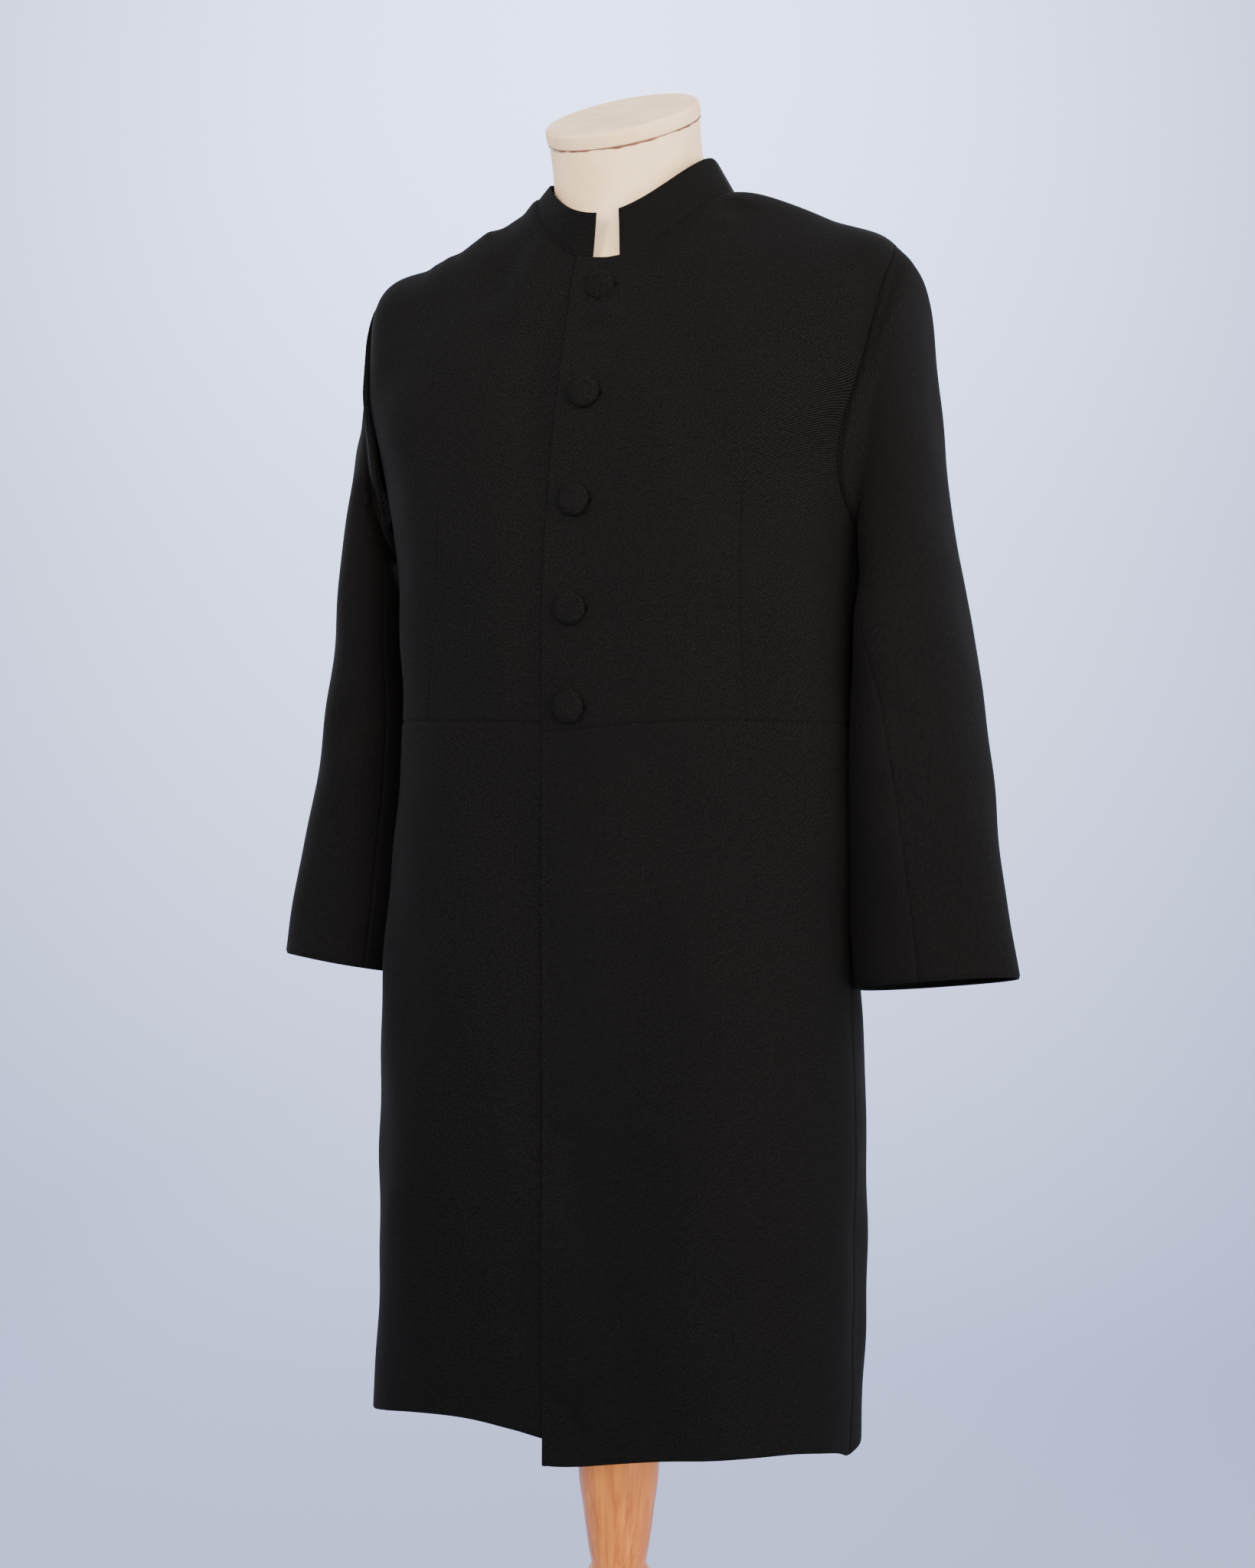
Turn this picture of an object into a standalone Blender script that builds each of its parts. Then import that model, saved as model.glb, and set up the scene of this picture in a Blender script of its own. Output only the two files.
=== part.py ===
"""Clerical frock coat on a limbless dress form: cut cloth panels, bust, turned pole and base.

Metres, +Z up. The front faces -Y and the wearer's left is +X. The origin is on the floor, at the
middle of the base. The coat is lofted from one table of body sections, cut into panels by its
seams, so panels that meet share the same points and stay one seam gap apart.
"""

import math
from collections import namedtuple

import bmesh
import bpy
import numpy as np
from mathutils import Vector
from mathutils.bvhtree import BVHTree

# Cloth and seams
CLOTH = 0.0020
COLLAR_CLOTH = 0.0026
SEAM_GAP = 0.0003
SLEEVE_SEAM_GAP = 0.0005
LAP_CLEARANCE = 0.0010

# Front closure: the buttons sit a little to the wearer's left of the middle, as the coat hangs
CLOSURE_X = 0.0075
LAP_PAST_BUTTONS = 0.024
UNDERLAP = 0.055
LAP_RAMP = 0.022
LAP_LEAD = 0.016
HEM_CORNER_DROP = 0.018
HEM_CORNER_REACH = 0.075

# Collar
COLLAR_GAP = 0.022
COLLAR_ROWS = 4
COLLAR_COLUMNS = 9
COLLAR_LIFT = 0.0010

# Buttons, 40 ligne, covered in the coat's own cloth
BUTTON_RADIUS = 0.01275
BUTTON_HEIGHT = 0.0072
BUTTON_SHANK_RADIUS = 0.0035
BUTTON_SHANK = 0.0014
BUTTON_STEPS = 14
BUTTON_SEAT = 0.0005
BUTTON_HEIGHTS = (1.373, 1.282, 1.196, 1.112, 1.036)

# Grid of each panel
NECK_COLUMNS = 7
SHOULDER_COLUMNS = 6
SIDE_ROWS = 5
ARMHOLE_ROWS = 9
SKIRT_ROWS = 9
CHEST_LEVEL = 6.4
TOP_PULL = 2
SLEEVE_ROWS = 19
NORMAL_PASSES = 3
HEAD_OUT = 0.0065
HEAD_UP = 0.0018
UNDERARM_UP = 0.0058

# One section of the coat from neck seam to hem. A section is a flattened ring: its half width,
# where its widest point lies fore and aft, how far it reaches to the front and the back, its
# height at the front, the side and the back, and how square it is (2 is an ellipse).
Section = namedtuple(
    "Section", "half_width shift_x side_y front_y back_y front_z side_z back_z squareness"
)
BODY = {
    "neck seam": Section(0.0865, 0.005, 0.024, -0.0445, 0.097, 1.399, 1.459, 1.480, 2.00),
    "collar foot": Section(0.1130, 0.005, 0.023, -0.0560, 0.113, 1.374, 1.452, 1.457, 2.05),
    "shoulder": Section(0.1680, 0.005, 0.021, -0.0720, 0.127, 1.328, 1.4235, 1.405, 2.20),
    "shoulder tip": Section(0.2220, 0.003, 0.018, -0.0890, 0.136, 1.276, 1.399, 1.353, 2.35),
    "upper arm": Section(0.2240, 0.003, 0.012, -0.1010, 0.140, 1.228, 1.320, 1.296, 2.50),
    "chest": Section(0.2090, 0.003, 0.006, -0.1100, 0.139, 1.178, 1.240, 1.232, 2.50),
    "underarm": Section(0.1980, 0.003, 0.003, -0.1150, 0.134, 1.128, 1.165, 1.165, 2.50),
    "ribs": Section(0.1930, 0.002, 0.001, -0.1165, 0.126, 1.075, 1.095, 1.097, 2.50),
    "waist seam": Section(0.1905, 0.002, 0.000, -0.1160, 0.121, 1.021, 1.025, 1.029, 2.50),
    "hip": Section(0.1950, 0.000, -0.004, -0.1160, 0.128, 0.890, 0.890, 0.890, 2.50),
    "thigh": Section(0.2010, 0.000, -0.010, -0.1165, 0.129, 0.740, 0.738, 0.736, 2.50),
    "knee": Section(0.2047, 0.000, -0.015, -0.1170, 0.125, 0.600, 0.590, 0.586, 2.50),
    "hem": Section(0.2034, 0.000, -0.021, -0.1175, 0.118, 0.474, 0.457, 0.453, 2.50),
}
LEVEL = {name: number for number, name in enumerate(BODY)}

# The armhole, as places on the body: degrees round from the middle front (90 is the side) and
# the level, from the shoulder point down the front or the back to the underarm point.
Notch = namedtuple("Notch", "degrees level")
ARMHOLE_FRONT = (
    Notch(90, 3.0), Notch(78, 3.25), Notch(68, 3.85), Notch(64, 4.7), Notch(71, 5.5), Notch(90, 6.0)
)
ARMHOLE_BACK = (
    Notch(90, 3.0), Notch(101, 3.25), Notch(110, 3.85), Notch(115, 4.7), Notch(110, 5.5), Notch(90, 6.0)
)

# One section of a sleeve: its outer and inner points, its middle and half depth fore and aft,
# how much its front is lifted, where its two seams run (degrees from the outer point, round by
# the front), and how square it is.
Ring = namedtuple(
    "Ring", "outer_x outer_z inner_x inner_z mid_y half_depth lift fore_seam hind_seam squareness"
)
SLEEVES = {
    "left": {
        "head": Ring(0.2455, 1.370, 0.2050, 1.166, 0.024, 0.070, 0.000, 142, 255, 2.2),
        "upper": Ring(0.2560, 1.295, 0.2045, 1.130, 0.024, 0.068, 0.000, 138, 252, 2.2),
        "biceps": Ring(0.2670, 1.190, 0.2035, 1.075, 0.022, 0.064, 0.002, 124, 248, 2.2),
        "above elbow": Ring(0.2840, 1.100, 0.2005, 1.020, 0.019, 0.061, 0.003, 112, 246, 2.2),
        "elbow": Ring(0.2990, 1.010, 0.1990, 0.960, 0.015, 0.058, 0.004, 102, 246, 2.2),
        "forearm": Ring(0.3125, 0.915, 0.2005, 0.885, 0.010, 0.054, 0.005, 95, 248, 2.2),
        "cuff": Ring(0.3265, 0.829, 0.2030, 0.815, 0.006, 0.051, 0.006, 94, 250, 2.2),
    },
    "right": {
        "head": Ring(0.2290, 1.366, 0.2010, 1.166, 0.024, 0.070, 0.000, 142, 255, 2.2),
        "upper": Ring(0.2290, 1.295, 0.1995, 1.130, 0.024, 0.068, 0.000, 140, 252, 2.2),
        "biceps": Ring(0.2480, 1.190, 0.1985, 1.075, 0.022, 0.064, 0.002, 139, 248, 2.2),
        "above elbow": Ring(0.2625, 1.100, 0.1965, 1.020, 0.019, 0.061, 0.003, 139, 246, 2.2),
        "elbow": Ring(0.2755, 1.010, 0.1990, 0.960, 0.015, 0.058, 0.004, 139, 246, 2.2),
        "forearm": Ring(0.2915, 0.915, 0.2025, 0.885, 0.010, 0.054, 0.005, 137, 248, 2.2),
        "cuff": Ring(0.3080, 0.829, 0.2050, 0.815, 0.006, 0.051, 0.006, 134, 250, 2.2),
    },
}
# How far each section's points keep to the places of the armhole's own points
HEAD_SHARES = (1.0, 0.7, 0.4, 0.15, 0.0, 0.0, 0.0)
FORE_SEAM_ROW = 7
HIND_SEAM_ROW = 5

COLLAR_TOP = Section(0.0712, 0.0045, 0.025, -0.0515, 0.1015, 1.433, 1.482, 1.512, 2.00)

# Dress form: how far the bust stays inside the coat's outer face, level by level
BUST_INSET = {
    "neck seam": 0.0085,
    "collar foot": 0.0060,
    "shoulder": 0.0048,
    "shoulder tip": 0.0095,
    "upper arm": 0.0120,
    "chest": 0.0110,
    "underarm": 0.0080,
    "ribs": 0.0110,
    "waist seam": 0.0170,
    "hip": 0.0150,
}
BUST_LEVELS = (9.2, 8.6, 8.0, 7.4, 6.8, 6.2, 5.6, 5.0, 4.4, 3.9, 3.4, 3.0, 2.6, 2.2, 1.8, 1.4, 1.05, 0.7, 0.4)
BUST_COLUMNS = 36
BUST_BOTTOM_Z = 0.860
NeckRing = namedtuple("NeckRing", "half_width half_depth mid_y mid_z tilt_degrees")
NECK = {
    "root": NeckRing(0.0675, 0.0680, 0.0270, 1.450, 29),
    "mid": NeckRing(0.0625, 0.0645, 0.0215, 1.482, 29),
    "top": NeckRing(0.0630, 0.0630, 0.0120, 1.5165, 30),
}
CAP_RADIUS = 0.0645
CAP_THICKNESS = 0.0125
CAP_EDGE = 0.002
CAP_TILT = 30

# Turned pole and base, as radius and height down the outside
BASE_RADIUS = 0.190
BASE_HEIGHT = 0.034
POLE_PROFILE = (
    (0.0335, BUST_BOTTOM_Z - SEAM_GAP), (0.0345, 0.640), (0.0345, 0.520), (0.0334, 0.425), (0.0290, 0.385),
    (0.0250, 0.355), (0.0224, 0.340), (0.0248, 0.3355), (0.0262, 0.329), (0.0248, 0.3225),
    (0.0215, 0.317), (0.0200, 0.290), (0.0215, 0.200), (0.0260, 0.110), (0.0310, 0.075),
    (0.0350, 0.062), (0.0350, 0.050), (0.0300, BASE_HEIGHT + SEAM_GAP),
)
BASE_PROFILE = (
    (0.0420, BASE_HEIGHT), (0.1000, 0.0310), (0.1600, 0.0255), (0.1720, 0.0225), (0.1760, 0.0185),
    (0.1840, 0.0180), (0.1890, 0.0140), (BASE_RADIUS, 0.0080), (0.1880, 0.0000),
)
TURNED_STEPS = 24


def clear_scene():
    for thing in list(bpy.data.objects):
        bpy.data.objects.remove(thing, do_unlink=True)


def material(name, colour, roughness, metallic=0.0):
    made = bpy.data.materials.new(name)
    made.use_nodes = True
    made.diffuse_color = (*colour, 1.0)
    shader = made.node_tree.nodes["Principled BSDF"]
    shader.inputs["Base Color"].default_value = (*colour, 1.0)
    shader.inputs["Roughness"].default_value = roughness
    shader.inputs["Metallic"].default_value = metallic
    return made


def add_object(name, mesh, finish, collection):
    made = bpy.data.objects.new(name, mesh)
    mesh.materials.append(finish)
    collection.objects.link(made)
    mesh.shade_smooth()
    mesh.set_sharp_from_angle(angle=math.radians(40))
    return made


def smooth_through(rows, place):
    """Values at place (0 is the first row) on a smooth curve through evenly numbered rows."""
    rows = np.asarray(rows, float)
    last = len(rows) - 1
    place = np.clip(np.asarray(place, float), 0, last)
    low = np.minimum(place.astype(int), last - 1)
    part = (place - low).reshape(place.shape + (1,) * (rows.ndim - 1))
    before, here = rows[np.maximum(low - 1, 0)], rows[low]
    there, after = rows[low + 1], rows[np.minimum(low + 2, last)]
    leave, arrive = (there - before) / 2, (after - here) / 2
    return (
        here * (2 * part**3 - 3 * part**2 + 1)
        + leave * (part**3 - 2 * part**2 + part)
        + there * (3 * part**2 - 2 * part**3)
        + arrive * (part**3 - part**2)
    )


def smooth_step(value):
    value = np.clip(value, 0, 1)
    return value * value * (3 - 2 * value)


def on_section(values, degrees):
    """Points of a section at these degrees round from the middle front, one row of values each."""
    half, shift, side_y, front_y, back_y, front_z, side_z, back_z, square = np.moveaxis(values, -1, 0)
    turn = np.radians(degrees)
    across, along = np.sin(turn), np.cos(turn)
    reach = (np.abs(across) ** square + np.abs(along) ** square) ** (-1 / square)
    at_front = along >= 0
    depth = np.where(at_front, side_y - front_y, back_y - side_y)
    end_z = np.where(at_front, front_z, back_z)
    return np.stack(
        [shift + half * across * reach, side_y - depth * along * reach, side_z + (end_z - side_z) * along**2],
        axis=-1,
    )


def body_point(degrees, level):
    return on_section(smooth_through(list(BODY.values()), level), degrees)


def unit(vectors):
    return vectors / np.linalg.norm(vectors, axis=-1, keepdims=True)


def body_normal(degrees, level):
    """Outward direction of the coat's outer face."""
    turn, step = 0.5, 0.02
    level = np.clip(level, step, LEVEL["hem"] - step)
    round_ = body_point(degrees + turn, level) - body_point(degrees - turn, level)
    down = body_point(degrees, level + step) - body_point(degrees, level - step)
    return unit(np.cross(down, round_))


def along_notches(notches, count):
    """Evenly numbered places on a smooth line through the notches, as degrees and levels."""
    places = smooth_through(notches, np.linspace(0, len(notches) - 1, 200))
    points = body_point(places[:, 0], places[:, 1])
    walked = np.concatenate([[0], np.cumsum(np.linalg.norm(np.diff(points, axis=0), axis=1))])
    wanted = np.linspace(0, walked[-1], count)
    return np.stack([np.interp(wanted, walked, places[:, axis]) for axis in (0, 1)], axis=-1)


def spanned(left, right, columns):
    """Grid of places on straight rows between two edges, each edge read from bottom to top."""
    return np.linspace(left, right, columns, axis=1)


def raised_to(grid, top, first):
    """Bends the rows above the first one more and more, until the last is this top edge."""
    rise = np.clip((np.arange(len(grid)) - first) / (len(grid) - 1 - first), 0, 1) ** TOP_PULL
    return grid + (top - grid[-1]) * rise[:, None, None]


def straight(start, end, count):
    return np.linspace(start, end, count)


def joined(*lines):
    """Lines end to end, each shared point once."""
    return np.concatenate([lines[0]] + [line[1:] for line in lines[1:]])


def drawn_in(grid, edges, gap):
    """Moves the named edges of a grid in by the gap, square to the edge."""
    grid = grid.copy()
    for edge, (at, neighbour) in {
        "bottom": (np.s_[0], np.s_[1]),
        "top": (np.s_[-1], np.s_[-2]),
        "left": (np.s_[:, 0], np.s_[:, 1]),
        "right": (np.s_[:, -1], np.s_[:, -2]),
    }.items():
        if edge in edges:
            away = grid[neighbour] - grid[at]
            along = unit(np.gradient(grid[at], axis=0))
            away -= along * np.sum(away * along, axis=-1, keepdims=True)
            grid[at] += gap * unit(away)
    return grid


def wall(name, outer, normals, thickness, finish, collection):
    """One closed cloth solid between a grid of outer points and the same grid moved in."""
    inner = outer - normals * np.broadcast_to(thickness, outer.shape[:2])[..., None]
    rows, columns = outer.shape[:2]
    work = bmesh.new()
    faces = [[[work.verts.new(p) for p in row] for row in grid] for grid in (outer, inner)]
    for side, (grid, turn) in enumerate(zip(faces, (1, -1))):
        for i in range(rows - 1):
            for j in range(columns - 1):
                work.faces.new([grid[i][j], grid[i][j + 1], grid[i + 1][j + 1], grid[i + 1][j]][::turn])
    out, into = faces
    rim = (
        [(0, j) for j in range(columns)]
        + [(i, columns - 1) for i in range(1, rows)]
        + [(rows - 1, j) for j in range(columns - 2, -1, -1)]
        + [(i, 0) for i in range(rows - 2, 0, -1)]
    )
    for here, there in zip(rim, rim[1:] + rim[:1]):
        # both panels of a seam split its rim the same way, so their edges stay one gap apart
        (i, j), (k, m) = sorted((here, there))
        work.faces.new([out[i][j], out[k][m], into[k][m]])
        work.faces.new([out[i][j], into[k][m], into[i][j]])
    bmesh.ops.recalc_face_normals(work, faces=work.faces)
    mesh = bpy.data.meshes.new(name)
    work.to_mesh(mesh)
    work.free()
    return add_object(name, mesh, finish, collection)


def edge_degrees(x, level):
    """Where an upright line at this x crosses the front of the sections at these levels."""
    values = smooth_through(list(BODY.values()), level)
    return np.degrees(np.arcsin((x - values[:, 1]) / values[:, 0]))


def front_places(side, edge_x):
    """Places of a bodice front and of the skirt front below it, from closure edge to side seam."""
    columns = NECK_COLUMNS + SHOULDER_COLUMNS + 1
    waist, neck, tip, under = (LEVEL[n] for n in ("waist seam", "neck seam", "shoulder tip", "underarm"))
    armhole = along_notches(ARMHOLE_FRONT, ARMHOLE_ROWS + 1)[::-1]
    seam = straight((90, waist), (90, under), SIDE_ROWS + 1)
    outer_edge = joined(seam, armhole) * (side, 1)
    levels = joined(straight(waist, CHEST_LEVEL, SIDE_ROWS + 1), straight(CHEST_LEVEL, neck, ARMHOLE_ROWS + 1))
    closure = np.stack([edge_degrees(edge_x, levels), levels], axis=-1)
    neckline = straight((closure[-1, 0] * side, neck), (90, neck), NECK_COLUMNS + 1)
    shoulder = straight((90, neck), (90, tip), SHOULDER_COLUMNS + 1)
    top = joined(neckline, shoulder) * (side, 1)
    bodice = raised_to(spanned(closure, outer_edge, columns), top, SIDE_ROWS)
    levels = straight(LEVEL["hem"], waist, SKIRT_ROWS + 1)
    closure = np.stack([edge_degrees(edge_x, levels), levels], axis=-1)
    side_line = np.stack([np.full(len(levels), 90.0 * side), levels], axis=-1)
    return bodice, spanned(closure, side_line, columns)


def back_places(side):
    """Places of a bodice back and of the skirt back below it, from side seam to centre back."""
    columns = NECK_COLUMNS + SHOULDER_COLUMNS + 1
    waist, neck, tip, under = (LEVEL[n] for n in ("waist seam", "neck seam", "shoulder tip", "underarm"))
    armhole = along_notches(ARMHOLE_BACK, ARMHOLE_ROWS + 1)[::-1]
    outer_edge = joined(straight((90, waist), (90, under), SIDE_ROWS + 1), armhole)
    shoulder = straight((90, tip), (90, neck), SHOULDER_COLUMNS + 1)
    neckline = straight((90, neck), (180, neck), NECK_COLUMNS + 1)
    middle = joined(
        straight((180, waist), (180, CHEST_LEVEL), SIDE_ROWS + 1),
        straight((180, CHEST_LEVEL), (180, neck), ARMHOLE_ROWS + 1),
    )
    bodice = raised_to(spanned(outer_edge, middle, columns), joined(shoulder, neckline), SIDE_ROWS)
    hem = LEVEL["hem"]
    skirt = spanned(
        straight((90, hem), (90, waist), SKIRT_ROWS + 1),
        straight((180, hem), (180, waist), SKIRT_ROWS + 1),
        columns,
    )
    return bodice * (side, 1), skirt * (side, 1)


def lapped(points, normals, over):
    """The closure: the right front runs behind the left one, and the left hem corner hangs lower."""
    lap_edge = CLOSURE_X - LAP_PAST_BUTTONS
    if over:
        drop = HEM_CORNER_DROP * np.exp(-(((points[..., 0] - lap_edge) / HEM_CORNER_REACH) ** 2))
        skirt_top, hem = BODY["waist seam"].front_z, BODY["hem"].front_z
        points = points.copy()
        points[..., 2] -= drop * np.clip((skirt_top - points[..., 2]) / (skirt_top - hem), 0, 1) ** 2
        return points
    behind = smooth_step((points[..., 0] - lap_edge + LAP_RAMP + LAP_LEAD) / LAP_RAMP)
    return points - normals * (behind * (CLOTH + LAP_CLEARANCE))[..., None]


def bodice_and_skirt(cloth, collection):
    """The eight body panels. Returns the armhole points of each side, for the sleeves."""
    armholes = {}
    for side, word in ((1, "left"), (-1, "right")):
        over = side == 1
        edge_x = CLOSURE_X - LAP_PAST_BUTTONS if over else CLOSURE_X - LAP_PAST_BUTTONS + UNDERLAP
        fronts, backs = front_places(side, edge_x), back_places(side)
        for part, places in (("bodice_front", fronts[0]), ("skirt_front", fronts[1])):
            points = body_point(places[..., 0], places[..., 1])
            normals = body_normal(places[..., 0], places[..., 1])
            points = lapped(points, normals, over)
            edges = "right top bottom" if part == "bodice_front" else "right top"
            points = drawn_in(points, edges, SEAM_GAP / 2)
            wall(f"{part}_{word}", points, normals, CLOTH, cloth, collection)
        for part, places in (("bodice_back", backs[0]), ("skirt_back", backs[1])):
            points = body_point(places[..., 0], places[..., 1])
            normals = body_normal(places[..., 0], places[..., 1])
            edges = "left right top bottom" if part == "bodice_back" else "left right top"
            points = drawn_in(points, edges, SEAM_GAP / 2)
            wall(f"{part}_{word}", points, normals, CLOTH, cloth, collection)
        down_front = fronts[0][SIDE_ROWS:, -1][::-1]
        up_back = backs[0][SIDE_ROWS:, 0]
        armholes[word] = joined(down_front, up_back)[:-1]
    return armholes


def sleeve_axes(ring):
    """The middle of a sleeve section, and its half axes outward and forward."""
    middle = np.array([(ring.outer_x + ring.inner_x) / 2, ring.mid_y, (ring.outer_z + ring.inner_z) / 2])
    outward = np.array([(ring.outer_x - ring.inner_x) / 2, 0, (ring.outer_z - ring.inner_z) / 2])
    forward = np.array([0, -ring.half_depth, ring.lift])
    return middle, outward, forward


def sleeve_ring(ring, turns):
    """Points of one sleeve section at these degrees from its outer point, round by the front."""
    middle, outward, forward = sleeve_axes(ring)
    turn = np.radians(turns)
    out, fore = np.cos(turn), np.sin(turn)
    reach = (np.abs(out) ** ring.squareness + np.abs(fore) ** ring.squareness) ** (-1 / ring.squareness)
    return middle + (out * reach)[:, None] * outward + (fore * reach)[:, None] * forward


def own_turns(ring, points):
    """The degrees of a section at which these points lie, seen along the sleeve."""
    middle, outward, forward = sleeve_axes(ring)
    out = (points - middle) @ outward / (outward @ outward)
    fore = (points - middle) @ forward / (forward @ forward)
    return np.degrees(np.unwrap(np.arctan2(fore, out)))


def grid_normals(grid):
    """Outward directions of a tube's grid, whose rows are closed rings."""
    round_ = np.roll(grid, -1, axis=1) - np.roll(grid, 1, axis=1)
    down = np.gradient(grid, axis=0)
    return unit(np.cross(round_, down))


def sleeve(word, places, cloth, collection):
    """A two-piece sleeve lofted from the armhole, through its sections, to the cuff."""
    side = 1 if word == "left" else -1
    start = body_point(places[:, 0], places[:, 1])
    facing = body_normal(places[:, 0], places[:, 1])
    along = np.roll(start, -1, axis=0) - np.roll(start, 1, axis=0)
    away = unit(np.cross(facing, along)) * side
    count = len(places)
    underarm = ARMHOLE_ROWS
    fore, hind = FORE_SEAM_ROW, count - HIND_SEAM_ROW
    half = underarm / 2
    low = np.interp(np.arange(count), (0, half, underarm, count - half, count), (0, 0.2, 1, 0.2, 0))
    rise = (HEAD_UP + (UNDERARM_UP - HEAD_UP) * low)[:, None]
    rings = [start + away * SEAM_GAP, start + away * HEAD_OUT + facing * rise]
    own = own_turns(SLEEVES[word]["head"], start * (side, 1, 1))
    for ring, share in zip(SLEEVES[word].values(), HEAD_SHARES):
        seamed = np.interp(
            np.arange(count), (0, fore, underarm, hind, count), (0, ring.fore_seam, 180, ring.hind_seam, 360)
        )
        rings.append(sleeve_ring(ring, own * share + seamed * (1 - share)) * (side, 1, 1))
    rings = np.array(rings)
    stops = np.concatenate([[0], np.linspace(1, len(rings) - 1, SLEEVE_ROWS)])
    grid = smooth_through(rings, stops)
    normals = grid_normals(grid) * side
    outward = np.sum(normals[-1] * (grid[-1] - grid[-1].mean(axis=0)), axis=-1).mean()
    normals *= np.sign(outward)
    normals[0] = facing
    for _ in range(NORMAL_PASSES):
        normals[1:-1] = unit(normals[:-2] + 2 * normals[1:-1] + normals[2:])
    for part, columns in (
        ("top_sleeve", [j % count for j in range(hind, count + fore + 1)]),
        ("under_sleeve", list(range(fore, hind + 1))),
    ):
        panel = drawn_in(grid[:, columns], "left right", SLEEVE_SEAM_GAP / 2)
        wall(f"{part}_{word}", panel, normals[:, columns], CLOTH, cloth, collection)


def collar(cloth, collection):
    """The stand collar: one band from the neck seam up, parted at the front closure."""
    neck, top = BODY["neck seam"], COLLAR_TOP
    half_gap = COLLAR_GAP / 2
    first = math.degrees(math.asin((CLOSURE_X + half_gap - neck.shift_x) / neck.half_width))
    last = 360 + math.degrees(math.asin((CLOSURE_X - half_gap - neck.shift_x) / neck.half_width))
    turns = np.concatenate(
        [
            straight(first, 90, COLLAR_COLUMNS + 1)[:-1],
            straight(90, 270, 2 * COLLAR_COLUMNS + 1)[:-1],
            straight(270, last, COLLAR_COLUMNS + 1),
        ]
    )
    foot = body_point(turns, np.zeros(len(turns)))
    brim = on_section(np.array([top] * len(turns)), turns)
    up = unit(brim - foot)
    rise = np.linspace(0, 1, COLLAR_ROWS + 1)[:, None, None]
    lifted = foot + up * COLLAR_LIFT
    grid = lifted + (brim - lifted) * rise
    along = np.gradient(grid, axis=1)
    climb = np.gradient(grid, axis=0)
    normals = unit(np.cross(along, climb))
    wall("collar_stand", grid, normals, COLLAR_CLOTH, cloth, collection)


def turned(name, profile, steps, finish, collection):
    """A turned solid: its profile down the outside, closed at the axis, with a Screw."""
    work = bmesh.new()
    top, bottom = profile[0], profile[-1]
    points = [(0.0, top[1])] + list(profile) + [(0.0, bottom[1])]
    verts = [work.verts.new((r, 0.0, z)) for r, z in points]
    for a, b in zip(verts, verts[1:]):
        work.edges.new((a, b))
    mesh = bpy.data.meshes.new(name)
    work.to_mesh(mesh)
    work.free()
    made = add_object(name, mesh, finish, collection)
    screw = made.modifiers.new("turn", "SCREW")
    screw.axis = "Z"
    screw.steps = screw.render_steps = steps
    screw.use_merge_vertices = True
    screw.merge_threshold = 0.00001
    screw.use_smooth_shade = True
    return made


def buttons(cloth, collection):
    """Five cloth-covered buttons on the closure line, each on a short shank."""
    rim = BUTTON_SHANK + 0.0012
    profile = [
        (0.45 * BUTTON_RADIUS, BUTTON_HEIGHT),
        (0.80 * BUTTON_RADIUS, BUTTON_HEIGHT - 0.0010),
        (0.96 * BUTTON_RADIUS, BUTTON_HEIGHT - 0.0024),
        (BUTTON_RADIUS, rim + 0.0010),
        (0.94 * BUTTON_RADIUS, rim),
        (0.75 * BUTTON_RADIUS, BUTTON_SHANK),
        (BUTTON_SHANK_RADIUS, BUTTON_SHANK),
        (BUTTON_SHANK_RADIUS, 0.0),
    ]
    front = collection.objects["bodice_front_left"].data
    facets = BVHTree.FromPolygons([v.co for v in front.vertices], [f.vertices for f in front.polygons])
    levels = np.linspace(0, LEVEL["waist seam"], 400)
    degrees = edge_degrees(CLOSURE_X, levels)
    line, facing = body_point(degrees, levels), body_normal(degrees, levels)
    for number, height in enumerate(BUTTON_HEIGHTS, 1):
        place = int(np.argmin(np.abs(line[:, 2] - height)))
        made = turned(f"button_{number}", profile, BUTTON_STEPS, cloth, collection)
        out = Vector(facing[place])
        seat = facets.ray_cast(Vector(line[place]) + out * BUTTON_RADIUS, -out)[0]
        made.location = seat + out * BUTTON_SEAT
        made.rotation_euler = (math.atan2(math.hypot(out[0], out[1]), out[2]), 0, math.atan2(out[0], -out[1]))


def closed_loft(name, rings, finish, collection):
    """A solid through closed rings of equal count, with flat ends."""
    work = bmesh.new()
    loops = [[work.verts.new(p) for p in ring] for ring in rings]
    count = len(loops[0])
    for low, high in zip(loops, loops[1:]):
        for j in range(count):
            work.faces.new([low[j], low[(j + 1) % count], high[(j + 1) % count], high[j]])
    work.faces.new(loops[0])
    work.faces.new(loops[-1][::-1])
    bmesh.ops.recalc_face_normals(work, faces=work.faces)
    mesh = bpy.data.meshes.new(name)
    work.to_mesh(mesh)
    work.free()
    return add_object(name, mesh, finish, collection)


def neck_ring(ring, degrees):
    turn, tilt = np.radians(degrees), math.radians(ring.tilt_degrees)
    across, fore = ring.half_width * np.sin(turn), -ring.half_depth * np.cos(turn)
    return np.stack(
        [across, ring.mid_y + fore * math.cos(tilt), ring.mid_z + fore * math.sin(tilt)], axis=-1
    )


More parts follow.
